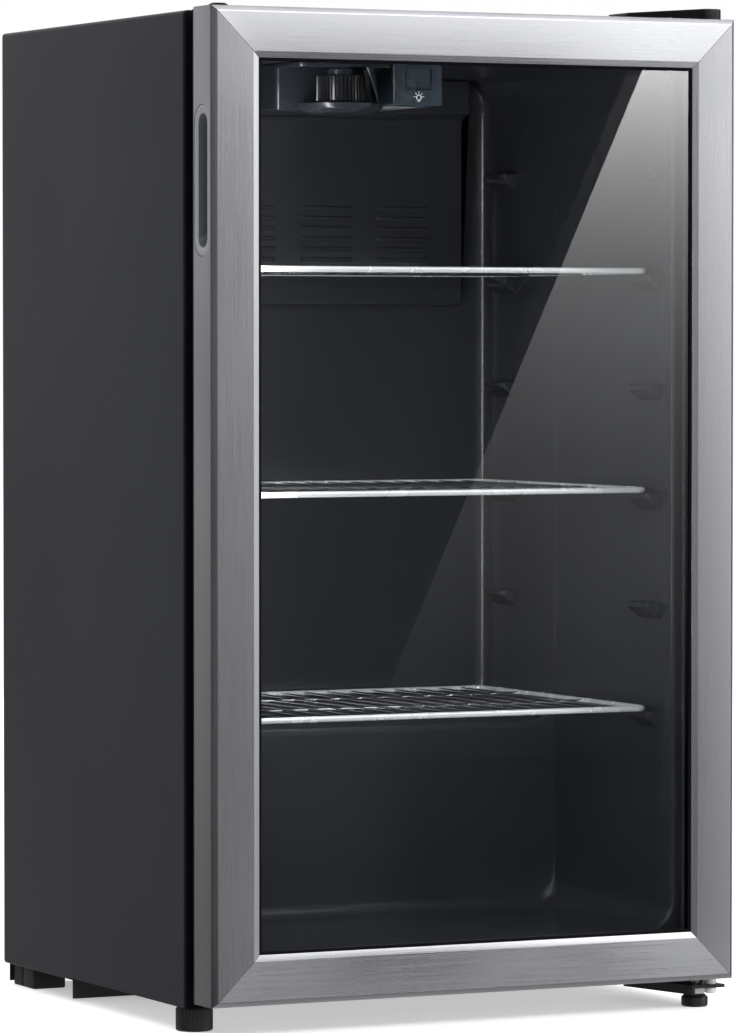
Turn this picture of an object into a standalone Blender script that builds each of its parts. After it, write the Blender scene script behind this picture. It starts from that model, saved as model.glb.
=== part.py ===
"""Glass-door beverage cooler with its hinged door, shelves, controls and cooling machinery.

Metres. X runs to the right, Y to the back and Z up. The origin is on the floor, under the
middle of the object, and the front of the door is at y = -DEPTH / 2.
"""

import bmesh
import bpy
import math
from mathutils import Matrix, Vector

for old in list(bpy.data.objects):
    bpy.data.objects.remove(old, do_unlink=True)

# Overall sizes
WIDTH = 0.480
DEPTH = 0.440  # front of the door to the back panel
CABINET_BASE = 0.0205  # floor to the underside of the cabinet
CABINET_HEIGHT = 0.8063
CLEAR = 0.0003  # gap between pieces that touch
EASE = 0.0005  # gap round a piece that moves

# Door
DOOR_DROP = 0.0055  # door bottom above the cabinet's underside
DOOR_RISE = 0.0016  # door top above the cabinet's top
FRAME_DEPTH = 0.0373
FRAME_FACE = 0.0412
FRAME_WALL = 0.0030
EDGE_CHAMFER = 0.0044
LIP_WIDTH = 0.0052  # sloped strip round the glass
LIP_DEPTH = 0.0014
BACK_FRAME_DEPTH = 0.0062  # black frame behind the steel one
GASKET_DEPTH = 0.0084
GASKET_WIDTH = 0.0075
GASKET_INSET = 0.0090
GLASS = 0.0040
AIR_SPACE = 0.0120
GLASS_BITE = 0.0120  # glass hidden behind the frame
SPACER_WIDTH = 0.0050
HANDLE_DROP = 0.1394  # middle of the finger pocket below the door top
HANDLE_LENGTH = 0.1213
HANDLE_WIDTH = 0.0300
POCKET_LENGTH = 0.1077
POCKET_WIDTH = 0.0170
POCKET_DEPTH = 0.0180
POCKET_WALL = 0.0018

# Hinges
PIN_INSET = 0.0120  # hinge axis from the door's right side
PIN_SETBACK = 0.0200  # hinge axis from the door's front
PIN_RADIUS = 0.0030
PIN_REACH = 0.0140  # pin length inside the door
PIN_HEAD_RADIUS = 0.0048
BUSH_WALL = 0.0017
BUSH_LENGTH = 0.0130
BRACKET = 0.0025
BRACKET_GAP = 0.0006  # bracket above the door top
COVER_WALL = 0.0018
COVER_TOP = 0.0091  # cover top above the door top
COVER_REACH = 0.0595  # cover's width on the cabinet top
COVER_SETBACK = 0.1250  # back of the cover from the door's front
SCREW_RADIUS = 0.0018
SCREW_HEAD = 0.0040

# Cabinet
STEEL = 0.0008
RETURN_WIDTH = 0.0150  # steel flange folded round the front
SIDE_WALL = 0.0313
TOP_WALL = 0.0348
FLOOR_WALL = 0.0440
BACK_WALL = 0.0450
LINER = 0.0020
LINER_RADIUS = 0.0240
NICHE_DEPTH = 0.1500
NICHE_HEIGHT = 0.1850
STEP_WALL = 0.0280  # insulation between the niche and the liner

# Shelves
REST_ABOVE_STEP = 0.0133  # top of the lowest shelf rest above the machinery step
REST_BELOW_CEILING = 0.0827  # top of the highest one below the ceiling
REST_LEVELS = 6
REST_LENGTH = 0.0380
REST_REACH = 0.0120
REST_HEIGHT = 0.0150
SHELF_LEVELS = (0, 2, 4)
SHELF_BAR = 0.0050
SHELF_SIDE_GAP = 0.0077
SHELF_FRONT = 0.0765  # shelf front from the door's front
SHELF_BACK_GAP = 0.0100
SHELF_WIRES = 15
SHELF_WIRE = 0.0040

# Controls
HOUSING_LEFT = -0.1050
HOUSING_RIGHT = 0.0260
SWITCH_BLOCK = 0.0520  # width of the block that holds the light switch
HOUSING_SETBACK = 0.1200  # front of the housing from the door's front
HOUSING_DEPTH = 0.1300
HOUSING_DROP = 0.0340  # below the ceiling
HOUSING_WALL = 0.0020
DIAL_RADIUS = 0.0225
DIAL_HEIGHT = 0.0225
DIAL_RIBS = 24
DIAL_X = -0.0600
DIAL_SETBACK = 0.1380
PAN_RADIUS = 0.0360
PAN_HEIGHT = 0.0090

# Feet
FOOT_INSET = 0.0170
FOOT_SETBACK = 0.0750
FOOT_RADIUS = 0.01535
STUD_RADIUS = 0.0040
STUD_REACH = 0.0220
SMALL_FOOT_INSET = 0.0170
SMALL_FOOT_SETBACK = 0.0380
SMALL_FOOT_RADIUS = 0.0112
SMALL_FOOT_HEIGHT = 0.0105
NUT_FLATS = 0.0170
REAR_FOOT_WIDTH = 0.0300
REAR_FOOT_LENGTH = 0.0450

# Cooling machinery
COMPRESSOR_X = 0.0500
COMPRESSOR_RADIUS = 0.0600
COMPRESSOR_HEIGHT = 0.1380
COMPRESSOR_WALL = 0.0032
GROMMET_HEIGHT = 0.0120
PIPE_RADIUS = 0.0030

# Places worked out from the sizes
FRONT = -DEPTH / 2
BACK = DEPTH / 2
RIGHT = WIDTH / 2
CABINET_TOP = CABINET_BASE + CABINET_HEIGHT
DOOR_BOTTOM = CABINET_BASE + DOOR_DROP
DOOR_TOP = CABINET_TOP + DOOR_RISE
FRAME_BACK = FRONT + FRAME_DEPTH
GASKET_FRONT = FRAME_BACK + BACK_FRAME_DEPTH + CLEAR
CABINET_FRONT = GASKET_FRONT + GASKET_DEPTH + CLEAR
GLASS_FRONT = FRONT + FRAME_WALL + CLEAR
INNER_GLASS = GLASS_FRONT + GLASS + AIR_SPACE + 2 * CLEAR
LINER_SIDE = RIGHT - SIDE_WALL
LINER_TOP = CABINET_TOP - TOP_WALL
LINER_FLOOR = CABINET_BASE + FLOOR_WALL
LINER_BACK = BACK - BACK_WALL
NICHE_FRONT = BACK - NICHE_DEPTH
NICHE_TOP = CABINET_BASE + NICHE_HEIGHT
STEP_FRONT = NICHE_FRONT - STEP_WALL
STEP_TOP = NICHE_TOP + STEP_WALL
HINGE = Vector((RIGHT - PIN_INSET, FRONT + PIN_SETBACK, 0))
BRACKET_TOP = CABINET_BASE - CLEAR
PLATE_TOP = CABINET_BASE - CLEAR
HANDLE_Y = FRONT + EDGE_CHAMFER + (FRAME_DEPTH - EDGE_CHAMFER) / 2
HANDLE_Z = DOOR_TOP - HANDLE_DROP
REST_FIRST = STEP_TOP + REST_ABOVE_STEP
REST_PITCH = (LINER_TOP - REST_BELOW_CEILING - REST_FIRST) / (REST_LEVELS - 1)


def finish(name, colour, roughness, metallic=0.0, alpha=1.0):
    made = bpy.data.materials.new(name)
    made.use_nodes = True
    shader = made.node_tree.nodes["Principled BSDF"]
    shader.inputs["Base Color"].default_value = (*colour, 1.0)
    shader.inputs["Roughness"].default_value = roughness
    shader.inputs["Metallic"].default_value = metallic
    shader.inputs["Alpha"].default_value = alpha
    made.diffuse_color = (*colour, alpha)
    return made


brushed = finish("brushed_steel", (0.62, 0.62, 0.64), 0.30, 1.0)
charcoal = finish("charcoal_paint", (0.040, 0.042, 0.048), 0.42, 0.3)
black_paint = finish("black_paint", (0.020, 0.020, 0.022), 0.40, 0.2)
zinc = finish("zinc_plate", (0.70, 0.70, 0.70), 0.32, 1.0)
galvanised = finish("galvanised_sheet", (0.45, 0.46, 0.47), 0.45, 1.0)
chrome = finish("chrome_wire", (0.85, 0.85, 0.87), 0.12, 1.0)
copper = finish("copper_pipe", (0.72, 0.36, 0.22), 0.30, 1.0)
aluminium = finish("spacer_bar", (0.12, 0.12, 0.13), 0.45, 0.6)
black_plastic = finish("black_plastic", (0.018, 0.018, 0.020), 0.45)
liner_plastic = finish("liner_plastic", (0.060, 0.062, 0.068), 0.25)
slate_plastic = finish("slate_plastic", (0.13, 0.15, 0.17), 0.35)
grey_plastic = finish("grey_plastic", (0.42, 0.42, 0.43), 0.40)
rubber = finish("rubber", (0.015, 0.015, 0.016), 0.75)
foam = finish("foam", (0.80, 0.72, 0.50), 0.90)
glass = finish("glass", (0.80, 0.84, 0.84), 0.03, 0.0, 0.25)
lens = finish("lens", (0.92, 0.93, 0.90), 0.20, 0.0, 0.6)


def shape(name, points, faces, look, parent=None, smooth=False):
    """A closed mesh. One with no look is a cutter, and stays out of the render."""
    work = bmesh.new()
    corners = [work.verts.new(point) for point in points]
    for face in faces:
        work.faces.new([corners[i] for i in face])
    bmesh.ops.recalc_face_normals(work, faces=work.faces)
    mesh = bpy.data.meshes.new(name)
    work.to_mesh(mesh)
    work.free()
    return keep(name, mesh, look, parent, smooth)


def keep(name, data, look, parent=None, smooth=False):
    made = bpy.data.objects.new(name, data)
    bpy.context.collection.objects.link(made)
    if parent:
        data.transform(Matrix.Translation(-parent.location))
        made.parent = parent
    if look:
        data.materials.append(look)
    else:
        made.hide_render = True
        made.display_type = "WIRE"
    if smooth:
        data.shade_smooth()
        data.set_sharp_from_angle(angle=math.radians(35))
    return made


def axis_empty(name, place):
    made = bpy.data.objects.new(name, None)
    made.empty_display_size = 0.05
    made.location = place
    bpy.context.collection.objects.link(made)
    return made


def cut(target, cutter, operation="DIFFERENCE"):
    step = target.modifiers.new(cutter.name, "BOOLEAN")
    step.object = cutter
    step.operation = operation
    step.solver = "EXACT"


def at(axis, a, b, along):
    return {"X": (along, a, b), "Y": (a, along, b), "Z": (a, b, along)}[axis]


def prism(name, outline, axis, start, end, look, parent=None, far=None, smooth=False):
    """The outline carried along an axis, to a second outline where one is given."""
    count = len(outline)
    points = [at(axis, a, b, start) for a, b in outline]
    points += [at(axis, a, b, end) for a, b in far or outline]
    faces = [range(count), range(count, 2 * count)]
    for i in range(count):
        after = (i + 1) % count
        faces.append((i, after, count + after, count + i))
    return shape(name, points, faces, look, parent, smooth)


def rectangle(low_a, low_b, high_a, high_b):
    return [(low_a, low_b), (high_a, low_b), (high_a, high_b), (low_a, high_b)]


def box(name, low, high, look, parent=None):
    outline = rectangle(low[0], low[1], high[0], high[1])
    return prism(name, outline, "Z", low[2], high[2], look, parent)


def rounded(low_a, low_b, high_a, high_b, radius, steps=6):
    """A rectangle with quarter circles at its corners."""
    corners = (
        (high_a - radius, high_b - radius, 0),
        (low_a + radius, high_b - radius, 90),
        (low_a + radius, low_b + radius, 180),
        (high_a - radius, low_b + radius, 270),
    )
    outline = []
    for a, b, first in corners:
        for i in range(steps + 1):
            turn = math.radians(first + 90 * i / steps)
            outline.append((a + radius * math.cos(turn), b + radius * math.sin(turn)))
    return outline


def stadium(a, b, width, length, steps=8):
    """A slot outline, long in b, with half circles at its ends."""
    radius = width / 2
    reach = length / 2 - radius
    outline = []
    for middle, first in ((b + reach, 0), (b - reach, 180)):
        for i in range(steps + 1):
            turn = math.radians(first + 180 * i / steps)
            outline.append((a + radius * math.cos(turn), middle + radius * math.sin(turn)))
    return outline


def inset(outline, distance):
    """An anticlockwise convex outline moved inwards."""
    moved = []
    for i, here in enumerate(outline):
        before = Vector(outline[i - 1])
        after = Vector(outline[(i + 1) % len(outline)])
        into = (Vector(here) - before).normalized()
        away = (after - Vector(here)).normalized()
        normal_in = Vector((-into.y, into.x))
        normal_out = Vector((-away.y, away.x))
        share = distance / (1 + normal_in.dot(normal_out))
        moved.append(tuple(Vector(here) + (normal_in + normal_out) * share))
    return moved


def circle(a, b, radius, count=24):
    turns = [2 * math.pi * i / count for i in range(count)]
    return [(a + radius * math.cos(turn), b + radius * math.sin(turn)) for turn in turns]


def turned(name, profile, centre, look, parent=None, axis="Z", count=24):
    """A profile of (radius, height) turned round an axis. It is closed unless it ends on the axis."""
    points = []
    rings = []
    for radius, height in profile:
        first = len(points)
        outline = circle(*centre, radius, count) if radius else [centre]
        points += [at(axis, a, b, height) for a, b in outline]
        rings.append(range(first, len(points)))
    pairs = list(zip(rings, rings[1:]))
    if profile[0][0] or profile[-1][0]:
        pairs.append((rings[-1], rings[0]))
    faces = []
    for one, two in pairs:
        for i in range(count):
            after = (i + 1) % count
            face = [one[i % len(one)], one[after % len(one)], two[after % len(two)], two[i % len(two)]]
            faces.append(list(dict.fromkeys(face)))
    return shape(name, points, faces, look, parent, smooth=True)


def disc(name, centre, radius, low, high, look, parent=None, axis="Z", count=24):
    return prism(name, circle(*centre, radius, count), axis, low, high, look, parent, smooth=True)


def tube(name, centre, outer, inner, low, high, look, parent=None, axis="Z", count=24):
    profile = [(inner, low), (outer, low), (outer, high), (inner, high)]
    return turned(name, profile, centre, look, parent, axis, count)


def door_ring(name, profile, look, parent=None):
    """A profile of (distance in from the door's edge, y) carried round the door."""
    points = []
    for side, end in ((-1, 0), (1, 0), (1, 1), (-1, 1)):
        for inward, y in profile:
            z = DOOR_TOP - inward if end else DOOR_BOTTOM + inward
            points.append((side * (RIGHT - inward), y, z))
    count = len(profile)
    faces = []
    for corner in range(4):
        following = (corner + 1) % 4
        for i in range(count):
            after = (i + 1) % count
            faces.append(
                (
                    corner * count + i,
                    corner * count + after,
                    following * count + after,
                    following * count + i,
                )
            )
    return shape(name, points, faces, look, parent)


def door_rail(name, side, profile, look, parent=None):
    """One side of such a ring, with mitred ends."""
    slack = CLEAR / math.sqrt(2)
    count = len(profile)
    points = []
    for end in (-1, 1):
        for inward, y in profile:
            if side in ("left", "right"):
                x = (RIGHT - inward) * (1 if side == "right" else -1)
                reach = inward + slack
                z = DOOR_BOTTOM + reach if end < 0 else DOOR_TOP - reach
            else:
                x = end * (RIGHT - inward - slack)
                z = DOOR_TOP - inward if side == "top" else DOOR_BOTTOM + inward
            points.append((x, y, z))
    faces = [range(count), range(count, 2 * count)]
    for i in range(count):
        after = (i + 1) % count
        faces.append((i, after, count + after, count + i))
    return shape(name, points, faces, look, parent)


def rounded_path(corners, radius, steps=5):
    """A route through the corners, with each bend an arc."""
    route = [Vector(corners[0])]
    for before, here, after in zip(corners, corners[1:], corners[2:]):
        here = Vector(here)
        into = (here - Vector(before)).normalized()
        away = (Vector(after) - here).normalized()
        half = into.angle(away) / 2
        reach = radius * math.tan(half)
        start = here - into * reach
        side = (away - into * into.dot(away)).normalized()
        centre = start + side * radius
        for i in range(steps + 1):
            turn = 2 * half * i / steps
            route.append(centre - side * radius * math.cos(turn) + into * radius * math.sin(turn))
    route.append(Vector(corners[-1]))
    return route


def pipe(name, corners, radius, bend, look):
    route = rounded_path(corners, bend)
    curve = bpy.data.curves.new(name, "CURVE")
    curve.dimensions = "3D"
    curve.bevel_depth = radius
    curve.bevel_resolution = 2
    curve.use_fill_caps = True
    spline = curve.splines.new("POLY")
    spline.points.add(len(route) - 1)
    for point, place in zip(spline.points, route):
        point.co = (*place, 1)
    curve.materials.append(look)
    made = bpy.data.objects.new(name, curve)
    bpy.context.collection.objects.link(made)
    return made


def make_steel_shell():
    """Outer sheets: one wrap for both sides and the top, a back panel, a floor and the niche lining."""
    outer = rectangle(-RIGHT, CABINET_BASE, RIGHT, CABINET_TOP)
    wrap = prism("cabinet_wrap", outer, "Y", CABINET_FRONT, BACK, charcoal)
    inside = rectangle(
        -RIGHT + STEEL, CABINET_BASE - STEEL, RIGHT - STEEL, CABINET_TOP - STEEL
    )
    cut(wrap, prism("wrap_hollow", inside, "Y", CABINET_FRONT + STEEL, BACK + STEEL, None))
    window = rectangle(
        -RIGHT + RETURN_WIDTH,
        CABINET_BASE - STEEL,
        RIGHT - RETURN_WIDTH,
        CABINET_TOP - RETURN_WIDTH,
    )
    cut(wrap, prism("wrap_window", window, "Y", FRONT, BACK, None))

    side = RIGHT - STEEL - CLEAR
    back_low = NICHE_TOP - STEEL
    back_panel = rectangle(-side, back_low, side, CABINET_TOP - STEEL - CLEAR)
    prism("back_panel", back_panel, "Y", BACK - STEEL, BACK, galvanised)

    floor = [
        (CABINET_FRONT + STEEL + CLEAR, CABINET_BASE),
        (NICHE_FRONT, CABINET_BASE),
        (NICHE_FRONT, CABINET_BASE + STEEL),
        (CABINET_FRONT + STEEL + CLEAR, CABINET_BASE + STEEL),
    ]
    bottom = prism("bottom_panel", floor, "X", -side, side, galvanised)

    low = CABINET_BASE + STEEL + CLEAR
    lining = [
        (NICHE_FRONT - STEEL, low),
        (NICHE_FRONT, low),
        (NICHE_FRONT, NICHE_TOP - STEEL),
        (BACK - STEEL - CLEAR, NICHE_TOP - STEEL),
        (BACK - STEEL - CLEAR, NICHE_TOP),
        (NICHE_FRONT - STEEL, NICHE_TOP),
    ]
    prism("niche_panel", lining, "X", -side, side, galvanised)

    sill_side = RIGHT - RETURN_WIDTH - CLEAR
    sill = rectangle(
        -sill_side, CABINET_BASE, sill_side, LINER_FLOOR - SIDE_WALL + RETURN_WIDTH
    )
    prism("front_sill", sill, "Y", CABINET_FRONT, CABINET_FRONT + STEEL, black_paint)
    return wrap, bottom


def liner_solid(name, grow, front, look):
    """The compartment's shape, grown outwards, with the step over the machinery niche."""
    outline = rounded(
        -LINER_SIDE - grow,
        LINER_FLOOR - grow,
        LINER_SIDE + grow,
        LINER_TOP + grow,
        LINER_RADIUS + grow,
    )
    solid = prism(name, outline, "Y", front, LINER_BACK + grow, look, smooth=True)
    low = (-WIDTH, STEP_FRONT + grow, 0)
    high = (WIDTH, BACK + DEPTH, STEP_TOP - grow)
    cut(solid, box(name + "_step", low, high, None))
    return solid


def make_liner():
    outer = liner_solid("inner_liner", LINER, CABINET_FRONT, liner_plastic)
    edge = RETURN_WIDTH + CLEAR
    sill_top = LINER_FLOOR - SIDE_WALL + RETURN_WIDTH + CLEAR
    flange = rectangle(-RIGHT + edge, sill_top, RIGHT - edge, CABINET_TOP - edge)
    rim = prism("liner_rim", flange, "Y", CABINET_FRONT, CABINET_FRONT + LINER, None)
    cut(outer, rim, "UNION")
    cut(outer, liner_solid("liner_hollow", 0, FRONT, None))
    for level in range(REST_LEVELS):
        cut(outer, shelf_rests(level), "UNION")
    return outer


def shelf_rests(level):
    """Four blocks at one level, flat on top and sloped below."""
    top = REST_FIRST + REST_PITCH * level
    front = CABINET_FRONT + 0.0200
    back = LINER_BACK - REST_LENGTH - 0.0200
    points = []
    faces = []
    for side in (-1, 1):
        for y in (front, back):
            first = len(points)
            wall = side * (LINER_SIDE + LINER / 2)
            tip = side * (LINER_SIDE - REST_REACH)
            for depth in (y, y + REST_LENGTH):
                points += [
                    (wall, depth, top - REST_HEIGHT),
                    (tip, depth, top - REST_HEIGHT / 3),
                    (tip, depth, top),
                    (wall, depth, top),
                ]
            faces += [[first + i for i in (0, 1, 2, 3)], [first + i for i in (4, 5, 6, 7)]]
            faces += [[first + j for j in (i, (i + 1) % 4, 4 + (i + 1) % 4, 4 + i)] for i in range(4)]
    return shape(f"rests_{level}", points, faces, None)


def make_foam(holes):
    side = RIGHT - STEEL - CLEAR
    low = (-side, CABINET_FRONT + LINER + CLEAR, CABINET_BASE + STEEL + CLEAR)
    high = (side, BACK - STEEL - CLEAR, CABINET_TOP - STEEL - CLEAR)
    body = box("foam_insulation", low, high, foam)
    cut(body, liner_solid("foam_hollow", LINER + CLEAR, FRONT, None))
    niche_low = (-WIDTH, NICHE_FRONT - STEEL - CLEAR, 0)
    niche_high = (WIDTH, BACK + DEPTH, NICHE_TOP + CLEAR)
    cut(body, box("foam_niche", niche_low, niche_high, None))
    for hole in holes:
        cut(body, hole)


def cover_outline():
    """Plan of the upper hinge cover: a nose over the door, widening on to the cabinet."""
    right = RIGHT - 0.0015
    back = FRONT + COVER_SETBACK
    left = right - COVER_REACH
    nose = HINGE.y - 0.0090
    return [
        (right, nose + 0.0130),
        (right, back),
        (left, back),
        (left, back - 0.0350),
        (HINGE.x - 0.0110, nose),
        (HINGE.x + 0.0030, nose),
    ]


def hinge_screw(name, place, head_low, head_high, tip, holes_in):
    """A pan-head screw, and its clearance hole in each piece that it goes through."""
    head_end = head_high if tip < head_low else head_low
    profile = [
        (0, head_end),
        (SCREW_HEAD, head_end),
        (SCREW_HEAD, head_low + head_high - head_end),
        (SCREW_RADIUS, head_low + head_high - head_end),
        (SCREW_RADIUS, tip),
        (0, tip),
    ]
    turned(name, profile, place, zinc, count=12)
    reach = tip + math.copysign(0.001, tip - head_low)
    ends = sorted((head_low + head_high - head_end, reach))
    hole = disc(name + "_hole", place, SCREW_RADIUS + EASE, *ends, None, count=12)
    for piece in holes_in:
        cut(piece, hole)
    return hole


def make_upper_hinge(wrap):
    plan = cover_outline()
    clear_of_door = DOOR_TOP + BRACKET_GAP
    cover_high = DOOR_TOP + COVER_TOP
    cabinet_low = CABINET_TOP + CLEAR
    cover = prism("hinge_cover", plan, "Z", cabinet_low, cover_high, black_plastic)
    inner = inset(plan, COVER_WALL)
    cut(cover, prism("cover_hollow", inner, "Z", 0, cover_high - COVER_WALL, None))
    sweep_low = (HINGE.x - WIDTH, FRONT - DEPTH, 0)
    sweep_high = (WIDTH, CABINET_FRONT - EASE, clear_of_door)
    sweep = box("door_sweep", sweep_low, sweep_high, None)
    cut(cover, sweep)

    plate = inset(plan, COVER_WALL + EASE)
    bracket_high = clear_of_door + BRACKET
    bracket = prism("upper_hinge_bracket", plate, "Z", cabinet_low, bracket_high, zinc)
    cut(bracket, sweep)
    place = (HINGE.x, HINGE.y)
    hole = disc("upper_pin_hole", place, PIN_RADIUS + CLEAR, 0, cover_high, None)
    cut(bracket, hole)
    head_low = bracket_high + CLEAR
    head_high = head_low + 0.0020
    profile = [
        (0, head_high),
        (PIN_HEAD_RADIUS, head_high),
        (PIN_HEAD_RADIUS, head_low),
        (PIN_RADIUS, head_low),
        (PIN_RADIUS, DOOR_TOP - PIN_REACH),
        (0, DOOR_TOP - PIN_REACH),
    ]
    turned("upper_hinge_pin", profile, place, zinc)
    holes = []
    for number, shift in enumerate((-0.0030, -0.0300), 1):
        spot = (HINGE.x + shift, FRONT + COVER_SETBACK - 0.0160)
        name = f"upper_hinge_screw_{number}"
        holes.append(
            hinge_screw(name, spot, head_low, head_high, CABINET_TOP - 0.012, (bracket, wrap))
        )
    return holes


def make_lower_hinge(bottom):
    """Bracket under the cabinet. It reaches forward under the door, and holds the pin and a foot."""
    right = RIGHT - 0.0020
    back = FRONT + 0.1300
    flange_top = (right - 0.0520, FRONT + 0.0950)
    flange_tip = (right - 0.0310, HINGE.y - 0.0070)
    plan = [
        (right, flange_tip[1]),
        (right, back),
        (right - 0.0580, back),
        flange_top,
        flange_tip,
    ]
    low = BRACKET_TOP - BRACKET
    bracket = prism("lower_hinge_bracket", plan, "Z", low, BRACKET_TOP, black_paint)
    strip = [
        flange_top,
        flange_tip,
        (flange_tip[0] + BRACKET, flange_tip[1]),
        (flange_top[0] + BRACKET, flange_top[1]),
    ]
    flange = prism("bracket_flange", strip, "Z", low - 0.0052, low + BRACKET / 2, None)
    cut(bracket, flange, "UNION")
    place = (HINGE.x, HINGE.y)
    cut(bracket, disc("lower_pin_hole", place, PIN_RADIUS + CLEAR, 0, DOOR_BOTTOM, None))
    stud_hole = disc("stud_hole", small_foot_place(), STUD_RADIUS + EASE, 0, DOOR_BOTTOM, None)
    cut(bracket, stud_hole)
    profile = [
        (0, low - CLEAR - 0.0048),
        (PIN_HEAD_RADIUS, low - CLEAR - 0.0048),
        (PIN_HEAD_RADIUS, low - CLEAR),
        (PIN_RADIUS, low - CLEAR),
        (PIN_RADIUS, DOOR_BOTTOM + PIN_REACH),
        (0, DOOR_BOTTOM + PIN_REACH),
    ]
    turned("lower_hinge_pin", profile, place, zinc)
    tube(
        "hinge_washer",
        place,
        PIN_HEAD_RADIUS,
        PIN_RADIUS + CLEAR,
        BRACKET_TOP + CLEAR,
        DOOR_BOTTOM - EASE,
        zinc,
    )
    holes = []
    for number, shift in enumerate((-0.0060, -0.0380), 1):
        spot = (HINGE.x + shift, back - 0.0140)
        name = f"lower_hinge_screw_{number}"
        head_high = low - CLEAR
        holes.append(
            hinge_screw(
                name, spot, head_high - 0.0022, head_high, CABINET_BASE + 0.012, (bracket, bottom)
            )
        )
    return holes


def small_foot_place():
    return (RIGHT - SMALL_FOOT_INSET, FRONT + SMALL_FOOT_SETBACK)


def make_feet(bottom):
    """Two screw feet at the front and two fixed pads at the back. Returns the left stud's hole."""
    left = (-RIGHT + FOOT_INSET, FRONT + FOOT_SETBACK)
    left_axis = axis_empty("left_foot_axis", (*left, 0))
    pad_top = CABINET_BASE - EASE
    outer = [(FOOT_RADIUS if i % 2 else FOOT_RADIUS - 0.0009) for i in range(48)]
    ribs = [
        (left[0] + r * math.cos(math.tau * i / 48), left[1] + r * math.sin(math.tau * i / 48))
        for i, r in enumerate(outer)
    ]
    pad = prism("front_foot_left_pad", ribs, "Z", 0, pad_top, black_plastic, left_axis)
    bore = disc("left_pad_bore", left, STUD_RADIUS + CLEAR, 0.0060, DOOR_BOTTOM, None)
    cut(pad, bore)
    stud_top = CABINET_BASE + STUD_REACH
    disc("front_foot_left_stud", left, STUD_RADIUS, 0.0063, stud_top, zinc, left_axis)
    hole = disc("left_stud_hole", left, STUD_RADIUS + EASE, 0.0100, stud_top + 0.001, None)
    cut(bottom, hole)

    place = small_foot_place()
    right_axis = axis_empty("right_foot_axis", (*place, 0))
    pad_profile = [
        (0, 0),
        (SMALL_FOOT_RADIUS - 0.0010, 0),
        (SMALL_FOOT_RADIUS, 0.0010),
        (SMALL_FOOT_RADIUS, SMALL_FOOT_HEIGHT),
        (STUD_RADIUS + CLEAR, SMALL_FOOT_HEIGHT),
        (STUD_RADIUS + CLEAR, 0.0040),
        (0, 0.0040),
    ]
    turned("front_foot_right_pad", pad_profile, place, black_plastic, right_axis)
    nut_low = SMALL_FOOT_HEIGHT + CLEAR
    nut_high = BRACKET_TOP - BRACKET - EASE
    corner = NUT_FLATS / math.sqrt(3)
    stud = disc(
        "front_foot_right_stud", place, STUD_RADIUS, 0.0043, DOOR_BOTTOM - 0.0010, zinc, right_axis
    )
    nut = prism("stud_hexagon", circle(*place, corner, 6), "Z", nut_low, nut_high, None)
    cut(stud, nut, "UNION")

    for side, name in ((-1, "left"), (1, "right")):
        outer_x = side * (RIGHT - 0.0070)
        inner_x = side * (RIGHT - 0.0070 - REAR_FOOT_WIDTH)
        low = (min(outer_x, inner_x), BACK - 0.0050 - REAR_FOOT_LENGTH, 0)
        high = (max(outer_x, inner_x), BACK - 0.0050, PLATE_TOP - STEEL * 2 - CLEAR)
        box(f"rear_foot_{name}", low, high, rubber)
    return hole


def make_base_plate():
    """Channel under the niche, with its front and back edges folded down."""
    thick = STEEL * 2
    side = RIGHT - 0.0050
    front = NICHE_FRONT + 0.0080
    back = BACK - 0.0005
    section = [
        (front, 0.0020),
        (front + thick, 0.0020),
        (front + thick, PLATE_TOP - thick),
        (back - thick, PLATE_TOP - thick),
        (back - thick, 0.0030),
        (back, 0.0030),
        (back, PLATE_TOP),
        (front, PLATE_TOP),
    ]
    prism("base_plate", section, "X", -side, side, galvanised)


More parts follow.
